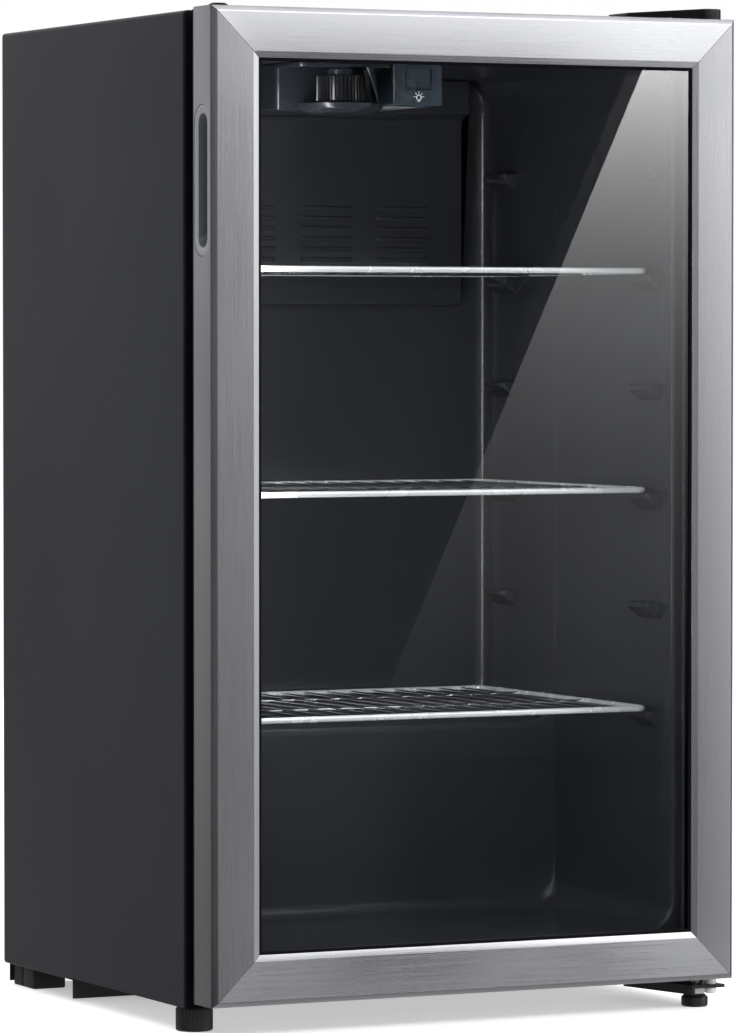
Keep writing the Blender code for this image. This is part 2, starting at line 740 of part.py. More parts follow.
def make_machinery():
    """Compressor on rubber mounts, drain tray, filter, pipes, relay and terminal box."""
    middle = (COMPRESSOR_X, (NICHE_FRONT + BACK) / 2)
    mount_low = PLATE_TOP + GROMMET_HEIGHT + 2 * CLEAR
    mount_high = mount_low + 0.0025
    reach_x = COMPRESSOR_RADIUS + 0.0180
    reach_y = 0.0460
    plate = rounded(
        middle[0] - reach_x, middle[1] - reach_y, middle[0] + reach_x, middle[1] + reach_y, 0.010, 3
    )
    spots = [(x, y) for x in (-reach_x + 0.012, reach_x - 0.012) for y in (-0.033, 0.033)]
    for number, (x, y) in enumerate(spots, 1):
        place = (middle[0] + x, middle[1] + y)
        low = PLATE_TOP + CLEAR
        tube(f"grommet_{number}", place, 0.0100, 0.0035, low, low + GROMMET_HEIGHT, rubber, count=16)

    radius = COMPRESSOR_RADIUS
    low = mount_high - 0.0010
    high = low + COMPRESSOR_HEIGHT
    seam = low + COMPRESSOR_HEIGHT * 0.55
    wall = COMPRESSOR_WALL
    neck = PIPE_RADIUS + CLEAR
    profile = [
        (0, low),
        (radius * 0.70, low),
        (radius * 0.92, low + 0.012),
        (radius - 0.002, low + 0.030),
        (radius - 0.002, seam - 0.003),
        (radius, seam - 0.003),
        (radius, seam + 0.003),
        (radius - 0.003, seam + 0.003),
        (radius - 0.004, high - 0.034),
        (radius * 0.84, high - 0.014),
        (radius * 0.55, high - 0.003),
        (neck, high),
        (neck, high - wall),
        (radius * 0.55 - wall, high - wall - 0.004),
        (radius * 0.84 - wall, high - 0.016 - wall),
        (radius - 0.004 - wall, high - 0.036),
        (radius - 0.002 - wall, low + 0.032),
        (radius * 0.70 - wall, low + wall + 0.002),
        (0, low + wall),
    ]
    shell = turned("compressor", profile, middle, black_paint, count=32)
    cut(shell, prism("compressor_feet", plate, "Z", mount_low, mount_high, None), "UNION")

    tray_low = high + 0.0012
    tray_high = NICHE_TOP - STEEL - 0.0020
    tray = rounded(middle[0] - 0.062, middle[1] - 0.050, middle[0] + 0.062, middle[1] + 0.050, 0.012, 3)
    drip = prism("drip_tray", tray, "Z", tray_low, tray_high, black_plastic)
    hollow = inset(tray, 0.0018)
    cut(drip, prism("tray_hollow", hollow, "Z", tray_low + 0.0018, tray_high + 0.01, None))

    relay_x = middle[0] + radius + 0.0010
    box(
        "start_relay_box",
        (relay_x, middle[1] - 0.022, low + 0.040),
        (relay_x + 0.030, middle[1] + 0.022, low + 0.092),
        black_plastic,
    )

    filter_x = COMPRESSOR_X - radius - 0.050
    filter_y = BACK - 0.040
    filter_low = low + 0.030
    filter_high = filter_low + 0.085
    filter_profile = [
        (0, filter_low),
        (0.0045, filter_low),
        (0.0085, filter_low + 0.010),
        (0.0085, filter_high - 0.010),
        (0.0045, filter_high),
        (0, filter_high),
    ]
    turned("filter_drier", filter_profile, (filter_x, filter_y), copper, count=16)
    side = COMPRESSOR_X - radius - 0.0006
    roof = NICHE_TOP - STEEL - CLEAR
    deep = NICHE_FRONT + CLEAR
    discharge = [
        (side, middle[1], low + 0.060),
        (side - 0.026, middle[1], low + 0.060),
        (side - 0.026, middle[1], low + 0.022),
        (side - 0.026, deep, low + 0.022),
    ]
    pipe("discharge_pipe", discharge, PIPE_RADIUS, 0.010, copper)
    suction = [
        (side, middle[1] - 0.004, low + 0.080),
        (side - 0.018, middle[1] - 0.004, low + 0.080),
        (side - 0.018, middle[1] - 0.004, roof),
    ]
    pipe("suction_pipe", suction, PIPE_RADIUS * 1.2, 0.010, copper)
    feed = [
        (filter_x, filter_y, filter_low - CLEAR),
        (filter_x, filter_y, filter_low - 0.020),
        (filter_x, deep, filter_low - 0.020),
    ]
    pipe("condenser_pipe", feed, PIPE_RADIUS * 0.8, 0.010, copper)

    terminal_x = -RIGHT + 0.0400
    terminal_back = BACK - 0.0240
    box(
        "terminal_box",
        (terminal_x, terminal_back - 0.045, PLATE_TOP + CLEAR),
        (terminal_x + 0.060, terminal_back, PLATE_TOP + 0.050),
        black_plastic,
    )
    gland = [
        (0.0042, terminal_back + CLEAR),
        (0.0100, terminal_back + CLEAR),
        (0.0100, terminal_back + 0.0060),
        (0.0075, terminal_back + 0.0200),
        (0.0042, terminal_back + 0.0200),
    ]
    turned("cord_gland", gland, (terminal_x + 0.030, PLATE_TOP + 0.026), rubber, axis="Y", count=16)


def make_controls():
    """Ceiling housing with a light switch, a thumb-wheel thermostat and a lamp."""
    ceiling = LINER_TOP - CLEAR
    low = LINER_TOP - HOUSING_DROP
    front = FRONT + HOUSING_SETBACK
    back = front + HOUSING_DEPTH
    block_left = HOUSING_RIGHT - SWITCH_BLOCK
    dial_y = FRONT + DIAL_SETBACK
    roof_low = LINER_TOP - 0.0100
    housing = prism(
        "control_housing",
        rectangle(block_left, front, HOUSING_RIGHT, back),
        "Z",
        low,
        ceiling,
        slate_plastic,
    )
    dial_top = roof_low - EASE
    dial_low = dial_top - DIAL_HEIGHT
    pan_high = dial_low - EASE
    pan_low = pan_high - PAN_HEIGHT
    behind = dial_y + 0.030
    rear_edge = (HOUSING_LEFT, behind, pan_low + HOUSING_WALL)
    rear = box("housing_rear", rear_edge, (block_left + 0.004, back, ceiling), None)
    cut(housing, rear, "UNION")
    canopy = rounded(HOUSING_LEFT, front, block_left + 0.0100, dial_y + 0.040, 0.0080, 4)
    cut(housing, prism("housing_canopy", canopy, "Z", roof_low, ceiling, None), "UNION")
    wall = HOUSING_WALL
    room_low = (block_left + wall, front + wall, low + wall)
    room_high = (HOUSING_RIGHT - wall, back - wall, LINER_TOP + wall)
    cut(housing, box("switch_room", room_low, room_high, None))
    rear_low = (HOUSING_LEFT + wall, behind + wall, low + wall)
    rear_high = (block_left + 2 * wall, back - wall, LINER_TOP + wall)
    cut(housing, box("rear_room", rear_low, rear_high, None))

    rocker_x = HOUSING_RIGHT - SWITCH_BLOCK / 2
    rocker_z = low + 0.0225
    window = rounded(rocker_x - 0.0125, rocker_z - 0.0085, rocker_x + 0.0125, rocker_z + 0.0085, 0.003, 3)
    cut(housing, prism("rocker_window", window, "Y", front - wall, front + 2 * wall, None))
    rocker_axis = axis_empty("rocker_axis", (rocker_x, front + 0.0040, rocker_z))
    half = 0.0108
    rocker = [
        (rocker_x - half, front + 0.0005),
        (rocker_x, front + 0.0022),
        (rocker_x + half, front - 0.0026),
        (rocker_x + half, front + 0.0030),
        (rocker_x + 0.0050, front + 0.0090),
        (rocker_x - 0.0050, front + 0.0090),
        (rocker_x - half, front + 0.0060),
    ]
    prism("light_rocker", rocker, "Z", rocker_z - 0.0070, rocker_z + 0.0070, slate_plastic, rocker_axis)
    box(
        "switch_body",
        (rocker_x - 0.0130, front + 0.0130, rocker_z - 0.0080),
        (rocker_x + 0.0130, front + 0.0300, rocker_z + 0.0070),
        black_plastic,
    )

    dial_place = (DIAL_X, dial_y)
    dial_axis = axis_empty("dial_axis", (*dial_place, dial_low))
    count = DIAL_RIBS * 4
    ribbed = []
    for i in range(count):
        radius = DIAL_RADIUS - (0.0016 if i % 4 in (2, 3) else 0)
        turn = math.tau * i / count
        ribbed.append((DIAL_X + radius * math.cos(turn), dial_y + radius * math.sin(turn)))
    prism("thermostat_dial", ribbed, "Z", dial_low, dial_top, black_plastic, dial_axis)
    pan_profile = [
        (0, pan_low),
        (PAN_RADIUS * 0.82, pan_low),
        (PAN_RADIUS * 0.96, pan_low + PAN_HEIGHT * 0.45),
        (PAN_RADIUS, pan_high),
        (0, pan_high),
    ]
    cut(housing, turned("dial_pan", pan_profile, dial_place, None, count=32), "UNION")
    thermostat_low = (HOUSING_LEFT + 0.010, dial_y + 0.040, low + 0.006)
    thermostat_high = (HOUSING_LEFT + 0.050, dial_y + 0.080, low + 0.024)
    box("thermostat_body", thermostat_low, thermostat_high, galvanised)

    lens_spot = (block_left + 0.010, front + 0.030, HOUSING_RIGHT - 0.010, back - 0.020)
    slot = rectangle(*lens_spot)
    cut(housing, prism("lens_slot", slot, "Z", low - wall, low + 2 * wall, None))
    lens_low = low - 0.0015
    prism("lamp_lens", inset(slot, CLEAR), "Z", lens_low, low + wall, lens)


def make_rear_cover():
    """Air cover on the compartment's back wall, with a ledge near its top."""
    back = LINER_BACK - CLEAR
    top = LINER_TOP - CLEAR
    section = [
        (back - 0.0100, top - 0.2000),
        (back, top - 0.2000),
        (back, top),
        (back - 0.0260, top),
        (back - 0.0260, top - 0.0300),
        (back - 0.0100, top - 0.0360),
    ]
    side = LINER_SIDE - LINER_RADIUS - 0.0040
    prism("rear_air_cover", section, "X", -side, side, liner_plastic)


def make_shelves():
    """Wire shelves: a border of round bar, and rods from front to back."""
    side = LINER_SIDE - SHELF_SIDE_GAP
    front = FRONT + SHELF_FRONT
    back = LINER_BACK - SHELF_BACK_GAP
    names = ("lower_shelf", "middle_shelf", "upper_shelf")
    for name, level in zip(names, SHELF_LEVELS):
        low = REST_FIRST + REST_PITCH * level + CLEAR
        axis = axis_empty(name + "_axis", (0, front, low))
        rear = back - (0.0200 if level == SHELF_LEVELS[-1] else 0)
        outline = rounded(-side, front, side, rear, 0.0120, 4)
        shelf = prism(name, outline, "Z", low, low + SHELF_BAR, chrome, axis)
        spacing = (2 * (side - SHELF_BAR) + SHELF_WIRE) / (SHELF_WIRES + 1)
        for i in range(SHELF_WIRES + 1):
            start = -side + SHELF_BAR + i * spacing
            slot_low = (start, front + SHELF_BAR, 0)
            slot_high = (start + spacing - SHELF_WIRE, rear - SHELF_BAR, CABINET_TOP)
            cut(shelf, box(f"{name}_slot_{i}", slot_low, slot_high, None))


def make_door():
    """Mitred steel frame, black back frame, double glass, gasket and finger pocket on the hinge axis."""
    hinge = axis_empty("door_hinge_axis", HINGE)
    lip_y = FRONT + LIP_DEPTH
    wall_y = FRONT + FRAME_WALL
    steel = [
        (0, FRONT + EDGE_CHAMFER),
        (EDGE_CHAMFER, FRONT),
        (FRAME_FACE - LIP_WIDTH, FRONT),
        (FRAME_FACE, lip_y),
        (FRAME_FACE, wall_y),
        (FRAME_WALL, wall_y),
        (FRAME_WALL, FRAME_BACK),
        (0, FRAME_BACK),
    ]
    rails = {
        side: door_rail(f"frame_{side}", side, steel, brushed, hinge)
        for side in ("left", "right", "top", "bottom")
    }

    glass_edge = FRAME_FACE - GLASS_BITE
    inside = glass_edge - CLEAR
    rim = FRAME_WALL + CLEAR
    rear = FRAME_BACK + BACK_FRAME_DEPTH
    throat = GASKET_INSET + GASKET_WIDTH + 0.0015
    core = [
        (rim, wall_y + CLEAR),
        (inside, wall_y + CLEAR),
        (inside, INNER_GLASS + GLASS + 0.0080),
        (throat, rear),
        (0.0015, rear),
        (0.0015, FRAME_BACK + CLEAR),
        (rim, FRAME_BACK + CLEAR),
    ]
    back_frame = door_ring("door_back_frame", core, black_plastic, hinge)

    side = RIGHT - glass_edge
    low = DOOR_BOTTOM + glass_edge
    high = DOOR_TOP - glass_edge
    pane = rectangle(-side, low, side, high)
    prism("outer_glass", pane, "Y", GLASS_FRONT, GLASS_FRONT + GLASS, glass, hinge)
    prism("inner_glass", pane, "Y", INNER_GLASS, INNER_GLASS + GLASS, glass, hinge)
    bar = [
        (glass_edge, GLASS_FRONT + GLASS + CLEAR),
        (glass_edge + SPACER_WIDTH, GLASS_FRONT + GLASS + CLEAR),
        (glass_edge + SPACER_WIDTH, INNER_GLASS - CLEAR),
        (glass_edge, INNER_GLASS - CLEAR),
    ]
    door_ring("glass_spacer", bar, aluminium, hinge)

    seal_back = GASKET_FRONT + GASKET_DEPTH
    neck = GASKET_FRONT + 0.0022
    seal = [
        (GASKET_INSET, GASKET_FRONT),
        (GASKET_INSET + GASKET_WIDTH, GASKET_FRONT),
        (GASKET_INSET + GASKET_WIDTH, neck),
        (GASKET_INSET + GASKET_WIDTH - 0.0015, neck + 0.0015),
        (GASKET_INSET + GASKET_WIDTH, neck + 0.0030),
        (GASKET_INSET + GASKET_WIDTH, seal_back),
        (GASKET_INSET, seal_back),
        (GASKET_INSET, neck + 0.0030),
        (GASKET_INSET + 0.0015, neck + 0.0015),
        (GASKET_INSET, neck),
    ]
    door_ring("door_gasket", seal, rubber, hinge)

    ring = stadium(HANDLE_Y, HANDLE_Z, HANDLE_WIDTH, HANDLE_LENGTH)
    cup = stadium(
        HANDLE_Y,
        HANDLE_Z,
        POCKET_WIDTH + 2 * POCKET_WALL,
        POCKET_LENGTH + 2 * POCKET_WALL,
    )
    mouth = stadium(HANDLE_Y, HANDLE_Z, POCKET_WIDTH, POCKET_LENGTH)
    bed = stadium(HANDLE_Y, HANDLE_Z, POCKET_WIDTH * 0.80, POCKET_LENGTH - POCKET_DEPTH * 1.2)
    flange_in = -RIGHT + FRAME_WALL / 2
    cup_in = -RIGHT + POCKET_DEPTH + POCKET_WALL
    handle = prism("pocket_handle", ring, "X", -RIGHT, flange_in, grey_plastic, hinge)
    cut(handle, prism("pocket_cup", cup, "X", -RIGHT + 0.0005, cup_in, None), "UNION")
    deep = -RIGHT + POCKET_DEPTH
    cut(handle, prism("pocket_mouth", mouth, "X", -RIGHT - 0.0010, deep, None, far=bed))

    ring_gap = stadium(
        HANDLE_Y, HANDLE_Z, HANDLE_WIDTH + 2 * CLEAR, HANDLE_LENGTH + 2 * CLEAR
    )
    ring_cut = prism("pocket_ring_cut", ring_gap, "X", -WIDTH, -RIGHT + rim, None)
    cut(rails["left"], ring_cut)
    cup_gap = stadium(
        HANDLE_Y,
        HANDLE_Z,
        POCKET_WIDTH + 2 * (POCKET_WALL + CLEAR),
        POCKET_LENGTH + 2 * (POCKET_WALL + CLEAR),
    )
    cut(back_frame, prism("pocket_cup_cut", cup_gap, "X", -WIDTH, cup_in + CLEAR, None))

    bore = PIN_RADIUS + EASE
    outer = bore + BUSH_WALL
    for end in ("lower", "upper"):
        flush = DOOR_BOTTOM if end == "lower" else DOOR_TOP
        into = 1 if end == "lower" else -1
        deep = flush + into * (BUSH_LENGTH + 0.0030)
        place = (HINGE.x, HINGE.y)
        hole_ends = sorted((flush - into * 0.0010, deep))
        hole = disc(f"{end}_bush_hole", place, outer + CLEAR, *hole_ends, None)
        cut(rails["bottom" if end == "lower" else "top"], hole)
        cut(back_frame, hole)
        bush_ends = sorted((flush + into * CLEAR, flush + into * BUSH_LENGTH))
        tube(f"{end}_hinge_bush", place, outer, bore, *bush_ends, grey_plastic, hinge)

    plug_place = (-RIGHT + PIN_INSET + 0.002, HINGE.y)
    plug_hole = disc("plug_hole", plug_place, PIN_RADIUS + CLEAR, DOOR_TOP - 0.011, CABINET_TOP + 1, None)
    cut(rails["top"], plug_hole)
    cut(back_frame, plug_hole)
    cap = DOOR_TOP + CLEAR
    plug = [
        (0, cap + 0.0022),
        (0.0066, cap + 0.0022),
        (0.0078, cap + 0.0010),
        (0.0078, cap),
        (PIN_RADIUS, cap),
        (PIN_RADIUS, DOOR_TOP - 0.0100),
        (0, DOOR_TOP - 0.0100),
    ]
    turned("hinge_hole_plug", plug, plug_place, black_plastic, hinge)


wrap_sheet, floor_sheet = make_steel_shell()
make_liner()
foam_holes = make_upper_hinge(wrap_sheet)
foam_holes += make_lower_hinge(floor_sheet)
foam_holes.append(make_feet(floor_sheet))
make_foam(foam_holes)
make_base_plate()
make_machinery()
make_controls()
make_rear_cover()
make_shelves()
make_door()
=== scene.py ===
import math

import bpy
import numpy as np
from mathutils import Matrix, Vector


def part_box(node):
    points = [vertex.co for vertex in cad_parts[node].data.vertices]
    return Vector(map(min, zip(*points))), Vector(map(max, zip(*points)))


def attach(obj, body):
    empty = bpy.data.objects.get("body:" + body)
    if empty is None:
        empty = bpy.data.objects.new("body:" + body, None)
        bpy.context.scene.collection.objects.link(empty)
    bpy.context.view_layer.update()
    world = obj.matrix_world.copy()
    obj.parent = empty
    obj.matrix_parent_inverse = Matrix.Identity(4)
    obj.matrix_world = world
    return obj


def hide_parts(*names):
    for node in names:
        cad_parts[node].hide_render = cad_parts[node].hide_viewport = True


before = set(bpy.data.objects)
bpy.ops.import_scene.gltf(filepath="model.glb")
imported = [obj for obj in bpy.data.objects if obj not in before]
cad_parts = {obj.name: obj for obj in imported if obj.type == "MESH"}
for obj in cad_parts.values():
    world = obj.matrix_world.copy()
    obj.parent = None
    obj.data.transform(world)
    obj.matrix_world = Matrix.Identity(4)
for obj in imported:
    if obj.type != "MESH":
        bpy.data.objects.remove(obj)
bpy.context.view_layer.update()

print("frame loaded:", len(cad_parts), "nodes")


# Arrays to meshes


def addMesh(name, parts, material, body, replaced=(), angle=32, uv=None):
    # parts is a list of (points, faces). Their points and faces are stacked into one mesh.
    points, faces, first = [], [], 0
    for partPoints, partFaces in parts:
        points.append(np.asarray(partPoints, float).reshape(-1, 3))
        faces += [tuple(int(i) + first for i in face) for face in partFaces]
        first += len(points[-1])
    mesh = bpy.data.meshes.new(name)
    mesh.from_pydata(np.concatenate(points).tolist(), [], faces)
    mesh.validate()
    mesh.shade_smooth()
    mesh.set_sharp_from_angle(angle=math.radians(angle))
    if uv is not None:
        layer = mesh.uv_layers.new(name="grain")
        corner = np.empty(len(mesh.loops), np.int32)
        mesh.loops.foreach_get("vertex_index", corner)
        layer.data.foreach_set("uv", np.asarray(uv, float)[corner].ravel())
    piece = bpy.data.objects.new(name, mesh)
    bpy.context.scene.collection.objects.link(piece)
    mesh.materials.append(material)
    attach(piece, body)
    if replaced:
        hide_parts(*replaced)
    return piece


def volume(points, faces):
    # Sum of the tetrahedra from the origin to each face, which is negative when the faces point in.
    points = np.asarray(points, float).reshape(-1, 3)
    total = 0.0
    for size in set(len(face) for face in faces):
        corner = points[np.array([face for face in faces if len(face) == size])]
        for k in range(1, size - 1):
            cross = np.cross(corner[:, k], corner[:, k + 1])
            total += float((corner[:, 0] * cross).sum())
    return total


def outward(points, faces):
    # The same part with its faces turned round where they point in.
    if volume(points, faces) < 0:
        faces = [tuple(face)[::-1] for face in faces]
    return points, faces


def loft(rings, capStart=True, capEnd=True, closed=False):
    # Rings of the same number of points, each joined to the next by a band of four-sided faces.
    rings = np.asarray(rings, float)
    rows, count = rings.shape[:2]
    across = np.arange(count)
    nextOne = (across + 1) % count
    bands = rows if closed else rows - 1
    faces = []
    for row in range(bands):
        low, high = row * count, ((row + 1) % rows) * count
        band = np.stack([low + across, low + nextOne, high + nextOne, high + across], 1)
        faces += [tuple(face) for face in band.tolist()]
    if not closed and capStart:
        faces.append(tuple(range(count))[::-1])
    if not closed and capEnd:
        faces.append(tuple(range((rows - 1) * count, rows * count)))
    return outward(rings.reshape(-1, 3), faces)


def place(axis, a, b, along):
    # Points whose two outline coordinates a, b and third coordinate along are put in X, Y, Z order.
    a, b, along = np.broadcast_arrays(a, b, along)
    order = {"X": (along, a, b), "Y": (a, along, b), "Z": (a, b, along)}[axis]
    return np.stack(order, -1)


def filleted(corners, radius, steps=4):
    # Each corner of the outline becomes an arc that meets both of its sides, centre on their bisector.
    corners = np.asarray(corners, float)
    radius = np.broadcast_to(radius, len(corners))
    made = []
    for i, here in enumerate(corners):
        into = here - corners[i - 1]
        away = corners[(i + 1) % len(corners)] - here
        longest = 0.49 * min(np.linalg.norm(into), np.linalg.norm(away))
        into, away = into / np.linalg.norm(into), away / np.linalg.norm(away)
        turn = math.acos(float(np.clip(into @ away, -1, 1)))
        if turn < 0.02 or radius[i] <= 0:
            made += [here] * (steps + 1)
            continue
        reach = min(radius[i] * math.tan(turn / 2), longest)
        curve = reach / math.tan(turn / 2)
        side = away - into * (into @ away)
        side /= np.linalg.norm(side)
        centre = here - into * reach + side * curve
        angle = np.linspace(0, turn, steps + 1)[:, None]
        made += list(centre - side * curve * np.cos(angle) + into * curve * np.sin(angle))
    return np.array(made)


def roundedRect(lowA, lowB, highA, highB, radius, steps=8):
    corners = [(highA, highB), (lowA, highB), (lowA, lowB), (highA, lowB)]
    return filleted(corners, radius, steps)


def shrunk(outline, distance):
    # The outline moved inwards along the mean of the normals of the two sides at each point.
    outline = np.asarray(outline, float)
    keep = np.linalg.norm(np.roll(outline, -1, 0) - outline, axis=1) > 1e-9
    index = np.cumsum(np.roll(keep, 1)) - 1
    slim = outline[np.roll(keep, 1)]
    after = np.roll(slim, -1, 0) - slim
    after /= np.linalg.norm(after, axis=1, keepdims=True)
    before = np.roll(after, 1, 0)
    turned = np.sign(np.cross(before, after).sum())
    normal = np.stack([-(before + after)[:, 1], (before + after)[:, 0]], 1) * turned
    share = 1 + (before * after).sum(1, keepdims=True)
    moved = slim + normal * distance / share
    return moved[index % len(slim)]


def slab(outline, axis, low, high, edge, steps=3, edgeHigh=None):
    # The outline carried from low to high, with both rims rounded by a quarter circle of radius edge.
    edgeHigh = edge if edgeHigh is None else edgeHigh
    rings = []
    for level, radius, sign in ((low, edge, 1), (high, edgeHigh, -1)):
        angle = np.linspace(0, math.pi / 2, steps + 1)
        if sign < 0:
            angle = angle[::-1]
        for t in angle:
            ring = shrunk(outline, radius * (1 - math.sin(t)))
            rings.append(place(axis, ring[:, 0], ring[:, 1], level + sign * radius * (1 - math.cos(t))))
    return loft(rings)


def pillow(low, high, edge, steps=4):
    # A box as the sum of a smaller box and a ball of radius edge: corner centre plus radius times normal.
    low, high = np.asarray(low, float), np.asarray(high, float)
    edge = min(edge, *(0.499 * (high - low)))
    middle, half = (low + high) / 2, (high - low) / 2 - edge
    quarter = np.linspace(0, math.pi / 2, steps + 1)
    longitude = np.concatenate([quarter + k * math.pi / 2 for k in range(4)])
    latitude = np.concatenate([quarter - math.pi / 2, quarter])
    signX = np.repeat([1, -1, -1, 1], steps + 1)
    signY = np.repeat([1, 1, -1, -1], steps + 1)
    signZ = np.repeat([-1, 1], steps + 1)
    u, v = np.meshgrid(longitude, latitude)
    normal = np.stack([np.cos(v) * np.cos(u), np.cos(v) * np.sin(u), np.sin(v)], -1)
    sign = np.stack(np.broadcast_arrays(signX[None, :], signY[None, :], signZ[:, None]), -1)
    return loft(middle + sign * half + edge * normal)


def turnedPart(profile, centre, axis="Z", count=48, closed=False, ripple=None):
    # Radius and height along the profile, turned through a full circle. ripple scales the radius by angle.
    profile = np.asarray(profile, float)
    angle = np.arange(count) * 2 * math.pi / count
    wave = np.ones((len(profile), count)) if ripple is None else ripple(angle, profile)
    radius = np.maximum(profile[:, :1], 2e-5) * wave
    a = centre[0] + radius * np.cos(angle)
    b = centre[1] + radius * np.sin(angle)
    return loft(place(axis, a, b, profile[:, 1:]), closed=closed)


def softProfile(points, radius, steps=4):
    # An open profile whose inner corners are arcs. Its two ends stay where they are.
    points = np.asarray(points, float)
    rounded = filleted(points, radius, steps).reshape(len(points), steps + 1, 2)
    return np.concatenate([points[:1], rounded[1:-1].reshape(-1, 2), points[-1:]])


def bentPath(corners, bend, steps=8):
    # Straight runs joined by arcs of radius bend.
    corners = np.asarray(corners, float)
    path = [corners[0]]
    for before, here, after in zip(corners, corners[1:], corners[2:]):
        into = (here - before) / np.linalg.norm(here - before)
        away = (after - here) / np.linalg.norm(after - here)
        turn = math.acos(float(np.clip(into @ away, -1, 1)))
        if turn < 1e-4:
            continue
        side = away - into * (into @ away)
        side /= np.linalg.norm(side)
        centre = here - into * bend * math.tan(turn / 2) + side * bend
        angle = np.linspace(0, turn, steps + 1)[:, None]
        path += list(centre - side * bend * np.cos(angle) + into * bend * np.sin(angle))
    path.append(corners[-1])
    return np.array(path)


def tube(path, radius, sides=14, closed=False, domed=True):
    # A circle carried along the path, square to it. Its frame is turned from point to point without twist.
    path = np.asarray(path, float)
    after = np.roll(path, -1, 0) - path
    before = path - np.roll(path, 1, 0)
    if not closed:
        after[-1], before[0] = before[-1], after[0]
    along = after / np.linalg.norm(after, axis=1, keepdims=True)
    along += before / np.linalg.norm(before, axis=1, keepdims=True)
    along /= np.linalg.norm(along, axis=1, keepdims=True)
    side = np.cross(along[0], (0.3, 0.2, 0.93) if abs(along[0][2]) < 0.8 else (1, 0, 0))
    sides3 = []
    for direction in along:
        side = side - direction * (side @ direction)
        side = side / np.linalg.norm(side)
        sides3.append(side)
    side = np.array(sides3)
    up = np.cross(along, side)
    if closed:  # the leftover twist is shared out evenly along the loop
        last = side[-1] - along[0] * (side[-1] @ along[0])
        twist = math.atan2(last @ up[0], last @ side[0])
        share = (-twist * np.arange(len(path)) / len(path))[:, None]
        side, up = side * np.cos(share) + up * np.sin(share), up * np.cos(share) - side * np.sin(share)
    angle = np.arange(sides) * 2 * math.pi / sides
    width = np.broadcast_to(radius, len(path))
    centre, scale = [path], [width]
    if not closed and domed:
        cap = np.array([0.35, 0.75, 0.97])
        centre = [path[0] - along[0] * width[0] * c * 0.35 for c in cap[::-1]]
        centre += list(path) + [path[-1] + along[-1] * width[-1] * c * 0.35 for c in cap]
        scale = np.concatenate(
            [width[0] * np.sqrt(1 - cap[::-1] ** 2), width, width[-1] * np.sqrt(1 - cap**2)]
        )
        side = np.concatenate([side[:1]] * 3 + [side] + [side[-1:]] * 3)
        up = np.concatenate([up[:1]] * 3 + [up] + [up[-1:]] * 3)
    else:
        scale = width
        centre = path
    ring = side[:, None] * np.cos(angle)[None, :, None] + up[:, None] * np.sin(angle)[None, :, None]
    rings = np.asarray(centre)[:, None] + ring * np.asarray(scale)[:, None, None]
    return loft(rings, closed=closed)


def doorRing(profile, corner, steps=6):
    # A profile of (distance in from the door's edge, depth) carried round the door's rounded rectangle.
    low, high = doorEdges
    rings = []
    for inward, depth in profile:
        path = roundedRect(
            low[0] + inward, low[1] + inward, high[0] - inward,
            high[1] - inward, max(corner - inward, 1e-4), steps
        )
        rings.append(place("Y", path[:, 0], path[:, 1], depth))
    return loft(rings, closed=True)


def cutOut(piece, points, faces):
    # The closed part given by points and faces is taken out of the piece's mesh.
    mesh = bpy.data.meshes.new("cutter")
    mesh.from_pydata(np.asarray(points).tolist(), [], faces)
    cutter = bpy.data.objects.new("cutter", mesh)
    bpy.context.scene.collection.objects.link(cutter)
    hole = piece.modifiers.new("hole", "BOOLEAN")
    hole.operation, hole.solver, hole.object = "DIFFERENCE", "EXACT", cutter
    graph = bpy.context.evaluated_depsgraph_get()
    done = bpy.data.meshes.new_from_object(piece.evaluated_get(graph))
    piece.modifiers.remove(hole)
    piece.data = done
    bpy.data.objects.remove(cutter)
    done.shade_smooth()
    done.set_sharp_from_angle(angle=math.radians(24))


# Materials


def newMaterial(name, colour, roughness, metallic=0.0, **sockets):
    made = bpy.data.materials.new(name)
    made.use_nodes = True
    shader = made.node_tree.nodes["Principled BSDF"]
    shader.inputs["Base Color"].default_value = (*colour, 1)
    shader.inputs["Roughness"].default_value = roughness
    shader.inputs["Metallic"].default_value = metallic
    for socket, value in sockets.items():
        shader.inputs[socket.replace("_", " ")].default_value = value
    made.diffuse_color = (*colour, 1)
    return made, made.node_tree, shader


def texture(tree, kind, scale, stretch=(1, 1, 1), source="Object", turn=(0, 0, 0), **values):
    # A pattern on the piece's own coordinates, stretched by a Mapping node.
    mapping = tree.nodes.new("ShaderNodeMapping")
    mapping.inputs["Scale"].default_value = stretch
    mapping.inputs["Rotation"].default_value = turn
    if source == "Object":
        coordinates = tree.nodes.new("ShaderNodeTexCoord")
        tree.links.new(coordinates.outputs["Object"], mapping.inputs["Vector"])
    else:
        coordinates = tree.nodes.new("ShaderNodeUVMap")
        coordinates.uv_map = source
        tree.links.new(coordinates.outputs["UV"], mapping.inputs["Vector"])
    pattern = tree.nodes.new(kind)
    pattern.inputs["Scale"].default_value = scale
    for socket, value in values.items():
        pattern.inputs[socket].default_value = value
    tree.links.new(mapping.outputs["Vector"], pattern.inputs["Vector"])
    return pattern.outputs[
        "Distance" if kind == "ShaderNodeTexVoronoi" else "Factor" if "Factor" in pattern.outputs else 0
    ]


def spread(tree, value, low, high, fromLow=0.3, fromHigh=0.7):
    # The pattern's value carried linearly to the range low to high.
    node = tree.nodes.new("ShaderNodeMapRange")
    for socket, number in (("From Min", fromLow), ("From Max", fromHigh), ("To Min", low), ("To Max", high)):
        node.inputs[socket].default_value = number
    tree.links.new(value, node.inputs["Value"])
    return node.outputs["Result"]


def tint(tree, value, dark, light):
    node = tree.nodes.new("ShaderNodeMix")
    node.data_type = "RGBA"
    node.inputs[6].default_value = (*dark, 1)
    node.inputs[7].default_value = (*light, 1)
    tree.links.new(value, node.inputs[0])
    return node.outputs[2]


